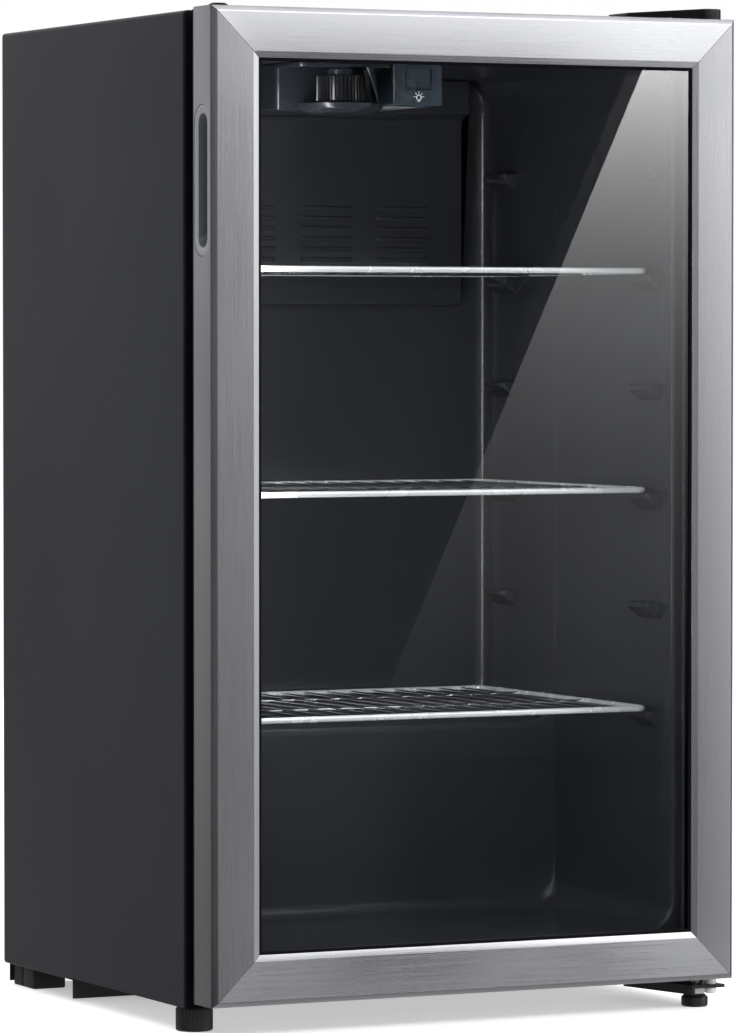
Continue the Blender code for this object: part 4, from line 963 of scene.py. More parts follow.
def makeHousing(low, high, front, rockerX, rockerZ, dialAt, dialHigh):
    # The block: rounded sides, with a front plate built round the switch's opening.
    wall = 0.0020
    blockLeft = high.x - controls["block"]
    floorZ = low.z + 0.0072
    halfA, halfB = controls["window"]
    hole = roundedRect(rockerX - halfA, rockerZ - halfB, rockerX + halfA, rockerZ + halfB, 0.003, 8)
    plate = roundedRect(blockLeft, floorZ, high.x, high.z, 0.0030, 8)
    rings = [
        place("Y", *plate.T, front + wall + 0.001),
        place("Y", *plate.T, front + 0.0008),
        place("Y", *shrunk(plate, 0.0008).T, front),
        place("Y", *shrunk(hole, -controls["frame"]).T, front),
        place("Y", *shrunk(hole, -controls["frame"] * 0.8).T, front - 0.0006),
        place("Y", *shrunk(hole, -controls["frame"] * 0.3).T, front - 0.0006),
        place("Y", *hole.T, front),
        place("Y", *hole.T, front + wall + 0.001),
    ]
    parts = [loft(rings, closed=True)]
    body = roundedRect(blockLeft, front + 0.0012, high.x, high.y, 0.0030, 6)
    inner = shrunk(body, wall)
    rings = [
        place("Z", *body.T, high.z), place("Z", *body.T, floorZ + 0.001),
        place("Z", *shrunk(body, 0.0010).T, floorZ),
        place("Z", *shrunk(body, 0.006).T, floorZ), place("Z", *shrunk(body, 0.006).T, floorZ + wall),
        place("Z", *inner.T, floorZ + wall), place("Z", *inner.T, high.z),
    ]
    parts.append(loft(rings, closed=True))
    # Floor of the block, with the lamp's opening left for the lens.
    lensLow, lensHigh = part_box("lamp_lens")
    opening = roundedRect(
        lensLow.x - 0.0003, lensLow.y - 0.0003, lensHigh.x + 0.0003, lensHigh.y + 0.0003, 0.001, 6
    )
    lipOut = shrunk(body, 0.0055)
    rings = [
        place("Z", *lipOut.T, floorZ + 0.0002), place("Z", *opening.T, floorZ + 0.0002),
        place("Z", *opening.T, floorZ + wall), place("Z", *lipOut.T, floorZ + wall),
    ]
    parts.append(loft(rings, closed=True))
    addMesh("switch_housing", parts, slate, "cabinet", ["control_housing"], 36)

    # Darker part: the box behind the wheel, the thin canopy over it and the round pan under it.
    rear = roundedRect(low.x, dialAt[1] + 0.030, blockLeft + 0.004, high.y, 0.0040, 6)
    parts = [slab(rear, "Z", floorZ - 0.0040, high.z, 0.0020)]
    canopy = roundedRect(low.x, front + 0.004, blockLeft + 0.004, dialAt[1] + 0.040, 0.0080, 8)
    parts.append(slab(canopy, "Z", high.z - controls["canopy"], high.z, 0.0012))
    r = controls["panRadius"]
    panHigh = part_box("thermostat_dial")[0].z - 0.0006
    pan = softProfile(
        [
            (0, low.z), (r * 0.80, low.z), (r * 0.95, low.z + 0.0040),
            (r, panHigh - 0.0008), (r - 0.0010, panHigh), (0, panHigh)
        ],
        0.0016,
    )
    parts.append(turnedPart(pan, dialAt, count=72))
    addMesh("dial_housing", parts, slateDark, "cabinet", (), 40)

    # Guard beside the wheel: a leaning wall round it whose front edge slopes back as it goes down.
    height = np.linspace(0, 1, 9)
    foot, top = panHigh + 0.0002, high.z - controls["canopy"] - 0.0002
    start = np.radians(-36 - 26 * height)
    rings = []
    for s in np.linspace(0, 1, 15):
        turn = start + (math.radians(55) - start) * s
        outer = 0.0325 - 0.0045 * height
        ring = []
        for radius, order in ((outer, slice(None)), (outer - 0.0014, slice(None, None, -1))):
            x, y = dialAt[0] + radius * np.cos(turn), dialAt[1] + radius * np.sin(turn)
            ring.append(np.stack([x, y, foot + (top - foot) * height], 1)[order])
        rings.append(np.concatenate(ring))
    addMesh("dial_guard", [loft(rings)], slate, "cabinet", (), 40)


def makeRocker(low, high, front, rockerX, rockerZ):
    # A face that is nearly flat on the left and sinks to the right, inside a rounded outline.
    half = (high.x - low.x) / 2
    outline = roundedRect(rockerX - half, low.z, rockerX + half, high.z, 0.0016, 8)

    def depth(points):
        slope = (points[:, 0] - rockerX) / half
        return front + 0.0014 - 0.0028 * np.maximum(slope, 0) ** 1.3 - 0.0006 * np.maximum(-slope, 0)

    rings = [place("Y", *outline.T, front + 0.0060), place("Y", *outline.T, depth(outline) + 0.0006)]
    slim = shrunk(outline, 0.0005)
    middle = np.array([rockerX, rockerZ])
    for share in (1.0, 0.75, 0.5, 0.25):
        points = middle + (slim - middle) * share
        rings.append(place("Y", *points.T, depth(points)))
    addMesh("rocker", [loft(rings)], slate, "light_switch_rocker", ["light_rocker"], 30)


def makeSign(x, y, z):
    # Generic lamp sign: a bulb outline over a base, with short rays, raised a hair above the plate.
    k = controls["sign"]
    turn = np.linspace(-0.25 * math.pi, 1.25 * math.pi, 20)
    bulb = np.stack([x + 0.0017 * k * np.cos(turn), z + (0.0006 + 0.0017 * np.sin(turn)) * k], 1)
    parts = [tube(place("Y", bulb[:, 0], bulb[:, 1], y), 0.00048, 8)]
    for drop, half in ((0.0010, 0.0010), (0.0018, 0.0007)):
        parts.append(tube([(x - half * k, y, z - drop * k), (x + half * k, y, z - drop * k)], 0.00038, 8))
    for angle in np.linspace(0.05, 0.95, 5) * math.pi:
        direction = np.array([math.cos(angle), 0, math.sin(angle)]) * k
        start = np.array([x, y, z + 0.0006 * k]) + direction * 0.0027
        parts.append(tube([start, start + direction * 0.0012], 0.00036, 8))
    addMesh("lamp_sign", parts, printInk, "cabinet", (), 60)


def makeWheel(low, high, at, roof):
    # Thumb wheel: flutes cut all round its rim, and a hub that rises to the canopy.
    ribs = controls["ribs"]
    radius = controls["wheel"]

    def flutes(angle, profile):
        wave = 0.5 + 0.5 * np.cos(angle * ribs)
        depth = 0.075 * np.clip(wave * 1.7 - 0.35, 0, 1)
        strength = (profile[:, :1] > radius * 0.93).astype(float)
        return 1 - depth[None, :] * strength

    rim = softProfile(
        [
            (0, low.z), (radius - 0.0012, low.z), (radius, low.z + 0.0012), (radius, high.z - 0.0010),
            (radius - 0.0010, high.z), (0, high.z),
        ],
        0.0006,
    )
    addMesh(
        "dial_wheel", [turnedPart(rim, at, count=ribs * 8, ripple=flutes)], ribbedBlack, "thermostat_wheel",
        ["thermostat_dial"], 38,
    )
    hub = softProfile(
        [
            (0, high.z - 0.0006), (radius * 0.60, high.z - 0.0006), (radius * 0.56, roof - 0.0016),
            (radius * 0.50, roof - 0.0004), (radius * 0.30, roof - 0.0004),
            (radius * 0.24, roof - 0.0016), (0, roof - 0.0016),
        ],
        0.0006,
    )
    grip = pillow(
        (at[0] - 0.0022, at[1] - radius * 0.52, roof - 0.0020),
        (at[0] + 0.0022, at[1] + radius * 0.52, roof - 0.0002), 0.0007
    )
    addMesh("dial_hub", [turnedPart(hub, at), grip], slate, "thermostat_wheel", (), 38)


def makeControls():
    low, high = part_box("control_housing")
    rockLow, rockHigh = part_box("light_rocker")
    dialLow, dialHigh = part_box("thermostat_dial")
    front = rockLow.y + 0.0026
    rockerX = (rockLow.x + rockHigh.x) / 2 + controls["shift"]
    rockerZ = (rockLow.z + rockHigh.z) / 2 - 0.0014
    dialAt = ((dialLow.x + dialHigh.x) / 2, (dialLow.y + dialHigh.y) / 2)
    makeHousing(low, high, front, rockerX, rockerZ, dialAt, dialHigh)
    makeRocker(rockLow, rockHigh, front, rockerX, rockerZ)
    makeSign(rockerX + 0.0006, front - 0.00012, low.z + 0.0072 + 0.0062)
    makeWheel(dialLow, dialHigh, dialAt, high.z - controls["canopy"])
    lensLow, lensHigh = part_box("lamp_lens")
    outline = roundedRect(lensLow.x, lensLow.y, lensHigh.x, lensHigh.y, 0.0012, 6)
    parts = [slab(outline, "Z", lensLow.z, lensHigh.z, 0.0006)]
    for y in np.linspace(lensLow.y + 0.006, lensHigh.y - 0.006, 15):
        z = lensLow.z + 0.0003
        parts.append(tube([(lensLow.x + 0.002, y, z), (lensHigh.x - 0.002, y, z)], 0.0003, 8))
    addMesh("lens", parts, lens, "cabinet", ["lamp_lens"], 40)


makeControls()

# Rear air cover: a ledged section with rounded corners, and a row of slots shown as raised louvres.
coverLow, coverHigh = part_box("rear_air_cover")
coverOutline = filleted(
    [
        (coverHigh.y - 0.0100, coverLow.z), (coverHigh.y, coverLow.z), (coverHigh.y, coverHigh.z),
        (coverLow.y, coverHigh.z), (coverLow.y, coverHigh.z - 0.0300),
        (coverHigh.y - 0.0100, coverHigh.z - 0.0360),
    ],
    [0.0030, 0, 0, 0.0020, 0.0040, 0.0060],
)
coverParts = [slab(coverOutline, "X", coverLow.x, coverHigh.x, 0.0030)]
for k in range(7):
    z = coverLow.z + 0.030 + k * 0.009
    for x in (-0.130, -0.055, 0.020, 0.095):
        face = coverHigh.y - 0.0100
        coverParts.append(pillow((x, face - 0.0016, z), (x + 0.050, face + 0.001, z + 0.0036), 0.0012))
addMesh("air_cover", coverParts, linerPlastic, "cabinet", ["rear_air_cover"], 40)
print("controls made")


# Hinges and feet

doorTop = doorEdges[1][1]
coverBoxLow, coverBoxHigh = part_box("hinge_cover")


def makeHingeCover():
    # A rounded shell: outline rings up the outside, over the top, then back down the inside.
    low, high = coverBoxLow.copy(), coverBoxHigh
    low.x += 0.0060
    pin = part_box("upper_hinge_pin")
    pinX, pinY = (pin[0].x + pin[1].x) / 2, (pin[0].y + pin[1].y) / 2
    plan = filleted(
        [
            (high.x, pinY + 0.0040), (high.x, high.y), (low.x, high.y), (low.x, high.y - 0.0350),
            (pinX - 0.0110, low.y), (pinX + 0.0030, low.y),
        ],
        [0.0080, 0.0040, 0.0040, 0.0120, 0.0060, 0.0070],
        6,
    )
    base = doorTop + 0.0007
    seat = wrapHigh.z + 0.0003
    edge = wrapLow.y - 0.0005
    front = np.array([y < edge for _, y in plan])
    bottom = np.where(front, base, seat)
    inner = shrunk(plan, 0.0018)
    rings = [
        place("Z", inner[:, 0], inner[:, 1], high.z - 0.0018), place("Z", inner[:, 0], inner[:, 1], bottom)
    ]
    rings.append(place("Z", plan[:, 0], plan[:, 1], bottom))
    for t in np.linspace(0, math.pi / 2, 7):
        ring = shrunk(plan, 0.0012 * (1 - math.cos(t)))
        rings.append(place("Z", ring[:, 0], ring[:, 1], high.z - 0.0012 * (1 - math.sin(t))))
    addMesh("upper_hinge_cover", [loft(rings)], coverBlack, "cabinet", ["hinge_cover"], 36)


makeHingeCover()


def centreOf(node):
    low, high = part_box(node)
    return (low.x + high.x) / 2, (low.y + high.y) / 2


def makeFeet():
    low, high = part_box("front_foot_left_pad")
    at, radius = centreOf("front_foot_left_pad"), (high.x - low.x) / 2

    def ribs(angle, profile):
        # Forty rounded ribs on the side wall, none on the top and bottom.
        wave = 0.03 * (0.5 - 0.5 * np.cos(angle * 40))
        strength = ((profile[:, :1] > radius * 0.95) & (profile[:, 1:] > 0.0030)).astype(float)
        return 1 - wave[None, :] * strength

    pad = softProfile(
        [
            (0, low.z), (radius - 0.0012, low.z), (radius, 0.0012),
            (radius, 0.0030), (radius, high.z - 0.0020),
            (radius - 0.0020, high.z), (0.0060, high.z), (0.0050, high.z - 0.0010), (0, high.z - 0.0010),
        ],
        0.0006,
        3,
    )
    addMesh(
        "left_foot_pad", [turnedPart(pad, at, count=240, ripple=ribs)], black, "left_foot",
        ["front_foot_left_pad"], 40,
    )
    low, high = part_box("front_foot_right_pad")
    at, radius = centreOf("front_foot_right_pad"), (high.x - low.x) / 2
    pad = softProfile(
        [
            (0, low.z), (radius - 0.0010, low.z), (radius, 0.0012), (radius, high.z - 0.0028),
            (radius - 0.0016, high.z - 0.0012), (radius - 0.0030, high.z), (0.0045, high.z), (0, high.z),
        ],
        0.0006,
        3,
    )
    addMesh(
        "right_foot_pad", [turnedPart(pad, at, count=64)], black,
        "right_foot", ["front_foot_right_pad"]
    )
    low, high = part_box("front_foot_right_stud")
    at = centreOf("front_foot_right_stud")
    flats = 0.0170
    corner = flats / math.sqrt(3)
    nutLow, nutHigh = 0.0108, 0.0167
    turn = np.arange(6) * math.pi / 3

    def hexagon(size, z):
        return np.stack([at[0] + size * np.cos(turn), at[1] + size * np.sin(turn), np.full(6, z)], 1)

    nut = [
        hexagon(corner * 0.93, nutLow), hexagon(corner, nutLow + 0.0006), hexagon(corner, nutHigh - 0.0006),
        hexagon(corner * 0.93, nutHigh),
    ]
    stud = threadedRod(at, 0.0040, low.z, high.z)
    addMesh(
        "right_foot_stud", [loft(nut), stud], zinc, "right_foot", ["front_foot_right_stud"], 25
    )
    low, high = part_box("front_foot_left_stud")
    stud = threadedRod(centreOf("front_foot_left_stud"), 0.0040, low.z, high.z)
    addMesh("left_foot_stud", [stud], zinc, "left_foot", ["front_foot_left_stud"], 25)
    for side in ("left", "right"):
        low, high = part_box(f"rear_foot_{side}")
        split = low.y + (high.y - low.y) * 0.55
        parts = [
            pillow(low, (high.x, split - 0.0006, high.z), 0.0016),
            pillow((low.x, split + 0.0006, low.z), high, 0.0016)
        ]
        parts.append(
            pillow(
                (low.x + 0.002, low.y + 0.002, low.z + 0.004), (high.x - 0.002, high.y - 0.002, high.z), 0.0010
            )
        )
        addMesh(f"rear_{side}_pad", parts, rubber, "cabinet", [f"rear_foot_{side}"])


def threadedRod(at, radius, low, high, pitch=0.00125):
    # Radius falls and rises once every pitch, with its phase turned by the angle, which makes a helix.
    rows = int((high - low) / pitch * 8) + 2
    z = np.linspace(low, high, rows)
    angle = np.arange(28) * 2 * math.pi / 28
    phase = z[:, None] / pitch * 2 * math.pi - angle
    size = radius - 0.0006 * (0.5 - 0.5 * np.cos(phase))
    fade = np.clip(np.minimum(z - low, high - z) / 0.001, 0.55, 1)[:, None]
    size = size * fade
    rings = np.stack(
        [at[0] + size * np.cos(angle), at[1] + size * np.sin(angle), np.broadcast_to(z[:, None], size.shape)],
        -1
    )
    return loft(rings)


makeFeet()


def makeHingePin(node, name):
    # Turned pin with a rounded head and a chamfered tip.
    low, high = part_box(node)
    at = centreOf(node)
    head, shank = 0.0048, 0.0030
    if node.startswith("upper"):
        flat, tip, headTop = high.z - 0.0020, low.z, high.z
    else:
        flat, tip, headTop = low.z + 0.0048, high.z, low.z
    sign = 1 if headTop > flat else -1
    profile = softProfile(
        [
            (0, headTop), (head - 0.0010, headTop),
            (head, headTop - sign * 0.0008), (head, flat), (shank, flat),
            (shank, tip + sign * 0.0010), (shank - 0.0010, tip), (0, tip),
        ],
        0.0004,
        3,
    )
    addMesh(name, [turnedPart(profile, at)], zinc, "cabinet", [node])


makeHingePin("upper_hinge_pin", "upper_pin")
makeHingePin("lower_hinge_pin", "lower_pin")


def makeScrew(node):
    # Pan head with a cross recess, on a threaded shank.
    low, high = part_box(node)
    at = centreOf(node)
    up = node.startswith("upper")
    headLow, headHigh = (high.z - 0.0020, high.z) if up else (low.z, low.z + 0.0022)
    outer = headHigh if up else headLow
    inner = headLow if up else headHigh
    sign = 1 if up else -1
    profile = softProfile(
        [
            (0, outer - sign * 0.0007), (0.0010, outer), (0.0026, outer),
            (0.0040, outer - sign * 0.0010), (0.0040, inner), (0, inner)
        ],
        0.0006,
        3,
    )

    def cross(angle, profile):
        # The recess pulls the innermost ring in between four arms.
        arms = 0.55 + 0.45 * np.abs(np.cos(2 * angle)) ** 3
        inside = (profile[:, :1] < 0.0016).astype(float)
        return 1 - inside * (1 - arms[None, :])

    head = turnedPart(profile, at, count=48, ripple=cross)
    shank = threadedRod(at, 0.0018, low.z + (0 if up else 0.0022), high.z - (0.0020 if up else 0), 0.0010)
    addMesh(node.replace("hinge_", ""), [head, shank], zinc, "cabinet", [node], 30)


for end in ("upper", "lower"):
    for number in (1, 2):
        makeScrew(f"{end}_hinge_screw_{number}")
print("hinges and feet made")


# Machinery behind


def makeMachinery():
    low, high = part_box("compressor")
    middle = ((low.x + high.x) / 2, (low.y + high.y) / 2)
    radius = 0.0600
    base = low.z
    tall = high.z - base
    seam = base + tall * 0.55
    shell = softProfile(
        [
            (0, base + 0.0015), (radius * 0.70, base + 0.0015),
            (radius * 0.92, base + 0.012), (radius - 0.002, base + 0.030),
            (radius - 0.002, seam - 0.003), (radius, seam - 0.003),
            (radius, seam + 0.003), (radius - 0.003, seam + 0.003),
            (radius - 0.004, high.z - 0.034), (radius * 0.84, high.z - 0.014),
            (radius * 0.55, high.z - 0.003),
            (radius * 0.20, high.z), (0, high.z),
        ],
        [0, 0.004, 0.010, 0.010, 0.001, 0.0015, 0.0015, 0.001, 0.014, 0.016, 0.010, 0.004, 0],
        5,
    )
    parts = [turnedPart(shell, middle, count=72)]
    plate = roundedRect(low.x, middle[1] - 0.046, high.x, middle[1] + 0.046, 0.010, 8)
    parts.append(slab(plate, "Z", base, base + 0.0025, 0.0008))
    addMesh("compressor_shell", parts, blackPaint, "cabinet", ["compressor"], 36)
    for number in range(1, 5):
        node = f"grommet_{number}"
        low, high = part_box(node)
        r = (high.x - low.x) / 2
        ring = filleted(
            [
                (0.0035, low.z), (r, low.z), (r, low.z + 0.004),
                (r - 0.0022, low.z + 0.0052), (r - 0.0022, high.z - 0.0052),
                (r, high.z - 0.004), (r, high.z), (0.0035, high.z),
            ],
            0.0008,
            3,
        )
        addMesh(
            f"mount_grommet_{number}", [turnedPart(ring, centreOf(node), closed=True)],
            rubber, "cabinet", [node]
        )
    low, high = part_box("drip_tray")
    outer = roundedRect(low.x, low.y, high.x, high.y, 0.012, 8)
    rings = []
    for inset, z in (
        (0.0040, low.z), (0.0012, low.z + 0.0012), (0.0004, low.z + 0.004),
        (0.0002, high.z - 0.0018), (0, high.z - 0.0012),
        (0, high.z - 0.0003), (0.0004, high.z), (0.0014, high.z),
        (0.0018, high.z - 0.0003), (0.0022, low.z + 0.006),
        (0.0034, low.z + 0.0028), (0.0060, low.z + 0.0020), (0.0200, low.z + 0.0018),
    ):
        ring = shrunk(outer, inset)
        rings.append(place("Z", *ring.T, z))
    addMesh("drain_tray", [loft(rings)], black, "cabinet", ["drip_tray"], 40)
    low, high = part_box("start_relay_box")
    parts = [pillow(low, high, 0.0022)]
    parts += [
        pillow(
            (high.x - 0.001, low.y + 0.006 + k * 0.008, low.z + 0.006),
            (high.x, low.y + 0.010 + k * 0.008, high.z - 0.006), 0.0004
        )
        for k in range(5)
    ]
    addMesh("relay_box", parts, black, "cabinet", ["start_relay_box"])
    low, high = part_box("terminal_box")
    seam = low.z + (high.z - low.z) * 0.62
    parts = [
        pillow(low, (high.x, high.y, seam - 0.0003), 0.0016),
        pillow((low.x, low.y, seam + 0.0003), high, 0.0022),
        pillow(
            (low.x + 0.0012, low.y + 0.0012, seam - 0.002),
            (high.x - 0.0012, high.y - 0.0012, seam + 0.002), 0.0006
        ),
    ]
    addMesh("terminal_housing", parts, black, "cabinet", ["terminal_box"])
    low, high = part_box("cord_gland")
    at = ((low.x + high.x) / 2, (low.z + high.z) / 2)
    rings = [(0.0042, low.y), (0.0100, low.y), (0.0100, low.y + 0.0057)]
    for k in range(4):
        y = low.y + 0.0070 + k * 0.0034
        size = 0.0090 - k * 0.0006
        rings += [(size - 0.0012, y), (size, y + 0.0006), (size, y + 0.0016), (size - 0.0012, y + 0.0022)]
    rings += [(0.0068, high.y), (0.0042, high.y)]
    addMesh(
        "gland", [turnedPart(filleted(rings, 0.0003, 2), at, "Y", closed=True)],
        rubber, "cabinet", ["cord_gland"]
    )
    low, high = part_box("filter_drier")
    r = (high.x - low.x) / 2
    body = softProfile(
        [
            (0, low.z), (0.0040, low.z), (0.0045, low.z + 0.003), (r, low.z + 0.011), (r, high.z - 0.011),
            (0.0045, high.z - 0.003), (0.0040, high.z), (0, high.z),
        ],
        0.0040,
        5,
    )
    addMesh(
        "drier", [turnedPart(body, centreOf("filter_drier"))],
        copper, "cabinet", ["filter_drier"]
    )


def makePipes():
    # Each pipe follows its solid's box: out of the compressor, round smooth bends, and on to its end.
    low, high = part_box("discharge_pipe")
    r = 0.0030
    x, right = low.x + r, high.x
    top, deep = high.z - r, low.z + r
    back = high.y - r
    path = bentPath([(right, back, top), (x, back, top), (x, back, deep), (x, low.y, deep)], 0.010)
    addMesh(
        "discharge_tube", [tube(path, r, domed=False)], copper,
        "cabinet", ["discharge_pipe"], 60
    )
    low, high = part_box("suction_pipe")
    r = (high.y - low.y) / 2
    y = (low.y + high.y) / 2
    path = bentPath([(high.x, y, low.z + r), (low.x + r, y, low.z + r), (low.x + r, y, high.z)], 0.010)
    addMesh(
        "suction_tube", [tube(path, r, domed=False)], copper, "cabinet", ["suction_pipe"], 60
    )
    low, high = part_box("condenser_pipe")
    r = (high.x - low.x) / 2
    x = (low.x + high.x) / 2
    path = bentPath([(x, high.y - r, high.z), (x, high.y - r, low.z + r), (x, low.y, low.z + r)], 0.010)
    addMesh(
        "condenser_tube", [tube(path, r, domed=False)], copper,
        "cabinet", ["condenser_pipe"], 60
    )


makeMachinery()
makePipes()


def makeBackPanel():
    # A sheet whose depth is a field over width and height: flat rim, sunk field, and raised ribs across it.
    low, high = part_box("back_panel")
    columns, rows = 121, 161
    x = np.linspace(low.x, high.x, columns)
    z = np.linspace(low.z, high.z, rows)
    gridX, gridZ = np.meshgrid(x, z)
    edge = np.minimum(np.minimum(gridX - low.x, high.x - gridX), np.minimum(gridZ - low.z, high.z - gridZ))
    field = np.clip((edge - 0.030) / 0.006, 0, 1)
    field = field * field * (3 - 2 * field)
    ribs = np.zeros_like(field)
    for k in range(1, 4):
        middle = low.z + (high.z - low.z) * k / 4
        away = np.abs(gridZ - middle) / 0.010
        ribs = np.maximum(ribs, np.exp(-(away**2)) * np.clip((edge - 0.050) / 0.010, 0, 1))
    depth = high.y - 0.0006 * field * (1 - ribs)
    outer = np.stack([gridX, depth, gridZ], -1).reshape(-1, 3)
    inner = np.stack([gridX, depth - 0.0004, gridZ], -1).reshape(-1, 3)
    index = np.arange(columns * rows).reshape(rows, columns)
    quads = np.stack([index[:-1, :-1], index[1:, :-1], index[1:, 1:], index[:-1, 1:]], -1).reshape(-1, 4)
    rim = np.concatenate([index[0], index[1:, -1], index[-1, -2::-1], index[-2:0:-1, 0]])
    after = np.roll(rim, -1)
    shift = columns * rows
    sides = np.stack([rim, after, after + shift, rim + shift], 1)
    faces = quads.tolist() + (quads[:, ::-1] + shift).tolist() + sides.tolist()
    part = outward(np.concatenate([outer, inner]), [tuple(face) for face in faces])
    addMesh("rear_panel", [part], galvanised, "cabinet", ["back_panel"], 40)


makeBackPanel()


def makeBaseFlanges():
    # Narrow flanges beside and in front of the base plate close the slits along the wrap and the niche.
    low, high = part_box("base_plate")
    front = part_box("niche_panel")[0].y
    left, right = wrapLow.x + 0.0004, wrapHigh.x - 0.0004
    bottom, top = high.z - 0.0012, high.z + 0.0004
    spans = {
        "left": ((left, front), (low.x + 0.0006, high.y)),
        "right": ((high.x - 0.0006, front), (right, high.y)),
        "front": ((left, front), (right, low.y + 0.0006)),
    }
    for side, (start, end) in spans.items():
        flange = pillow((*start, bottom), (*end, top), 0.0004)
        addMesh(f"base_flange_{side}", [flange], blackPaint, "cabinet")


makeBaseFlanges()
print("machinery made")


# Materials of the solids that stay

kept = {
    "outer_glass": glass, "inner_glass": innerGlass, "glass_spacer": spacerBar, "foam_insulation": foam,
    "front_sill": blackPaint, "lower_hinge_bracket": blackPaint,
    "bottom_panel": galvanised, "niche_panel": galvanised,
    "base_plate": blackPaint, "thermostat_body": galvanised,
    "upper_hinge_bracket": zinc, "hinge_washer": zinc,
    "switch_body": black, "lower_hinge_bush": greyPlastic, "upper_hinge_bush": greyPlastic,
}
for node, material in kept.items():
    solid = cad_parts[node]
    for materialSlot in solid.material_slots:
        materialSlot.material = material
shown = [name for name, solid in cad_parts.items() if not solid.hide_render]
print("solids kept:", len(shown), "without a look:", sorted(set(shown) - set(kept)))


# Floor, light and camera

stage = {"floor": 0.86, "size": 14.0, "glow": 0.42}


def makeFloor():
    half = stage["size"]
    mesh = bpy.data.meshes.new("floor")
    mesh.from_pydata(
        [(-half, -half, 0), (half, -half, 0), (half, half, 0), (-half, half, 0)], [], [(0, 1, 2, 3)]
    )
    floor = bpy.data.objects.new("floor", mesh)
    bpy.context.scene.collection.objects.link(floor)
    made, tree, shader = newMaterial(
        "floorPaper", (stage["floor"],) * 3, 0.9, Specular_IOR_Level=0.0, Emission_Strength=stage["glow"]
    )
    cloud = texture(tree, "ShaderNodeTexNoise", 0.6, Detail=2.0)
    pale = (stage["floor"],) * 3
    tree.links.new(tint(tree, cloud, [c * 0.99 for c in pale], pale), shader.inputs["Base Color"])
    mesh.materials.append(made)
    floor.visible_glossy = False


def makeWorld():
    # Pale to the camera. To everything else a studio: bright to the front right, dim below and to the left.
    world = bpy.data.worlds.new("studio")
    bpy.context.scene.world = world
    world.use_nodes = True
    tree = world.node_tree
    tree.nodes.clear()
    out = tree.nodes.new("ShaderNodeOutputWorld")
    direction = tree.nodes.new("ShaderNodeTexCoord").outputs["Generated"]

    parts = tree.nodes.new("ShaderNodeSeparateXYZ")
    tree.links.new(direction, parts.inputs[0])

    def mathNode(operation, a, b):
        node = tree.nodes.new("ShaderNodeMath")
        node.operation = operation
        for socket, value in zip(node.inputs, (a, b)):
            if isinstance(value, (int, float)):
                socket.default_value = value
            elif value is not None:
                tree.links.new(value, socket)
        return node.outputs[0]

    def profile(angle, stops, low, high):
        # Strength read from (degrees, strength) stops, with the angle carried to 0 to 1 first.
        strongest = max(strength for _, strength in stops)
        ramp = tree.nodes.new("ShaderNodeValToRGB")
        ramp.color_ramp.interpolation = "LINEAR"
        elements = ramp.color_ramp.elements
        while len(elements) < len(stops):
            elements.new(0.5)
        for element, (degrees, strength) in zip(elements, stops):
            element.position = (degrees - low) / (high - low)
            element.color = (*(strength / strongest,) * 3, 1)
        turned = mathNode("DIVIDE", mathNode("SUBTRACT", angle, math.radians(low)), math.radians(high - low))
        tree.links.new(turned, ramp.inputs[0])
        return mathNode("MULTIPLY", ramp.outputs[0], strongest)

    rise = mathNode("ARCSINE", parts.outputs["Z"], None)
    # Angle round from straight ahead of the door, to the right.
    turnAngle = mathNode("ARCTAN2", parts.outputs["X"], mathNode("MULTIPLY", parts.outputs["Y"], -1.0))
    pairs = []
    for height, turn in (("byHeight", "byTurn"), ("floorByHeight", "floorByTurn")):
        pairs.append(
            mathNode(
                "MULTIPLY", profile(rise, lightSetup[height], -90, 90),
                profile(turnAngle, lightSetup[turn], -180, 180)
            )
        )
    studio = mathNode("ADD", *pairs)
    paths = tree.nodes.new("ShaderNodeLightPath")
    reflected = tree.nodes.new("ShaderNodeBackground")
    tree.links.new(studio, reflected.inputs["Strength"])
    even = tree.nodes.new("ShaderNodeBackground")
    even.inputs["Color"].default_value = (1, 1, 1, 1)
    even.inputs["Strength"].default_value = lightSetup["fill"]
    backdrop = tree.nodes.new("ShaderNodeBackground")
    backdrop.inputs["Color"].default_value = (1, 1, 1, 1)
    backdrop.inputs["Strength"].default_value = 1.0
    first = tree.nodes.new("ShaderNodeMixShader")
    second = tree.nodes.new("ShaderNodeMixShader")
    tree.links.new(paths.outputs["Is Glossy Ray"], first.inputs[0])
    tree.links.new(even.outputs[0], first.inputs[1])
    tree.links.new(reflected.outputs[0], first.inputs[2])
    tree.links.new(paths.outputs["Is Camera Ray"], second.inputs[0])
    tree.links.new(first.outputs[0], second.inputs[1])
    tree.links.new(backdrop.outputs[0], second.inputs[2])
    tree.links.new(second.outputs[0], out.inputs["Surface"])


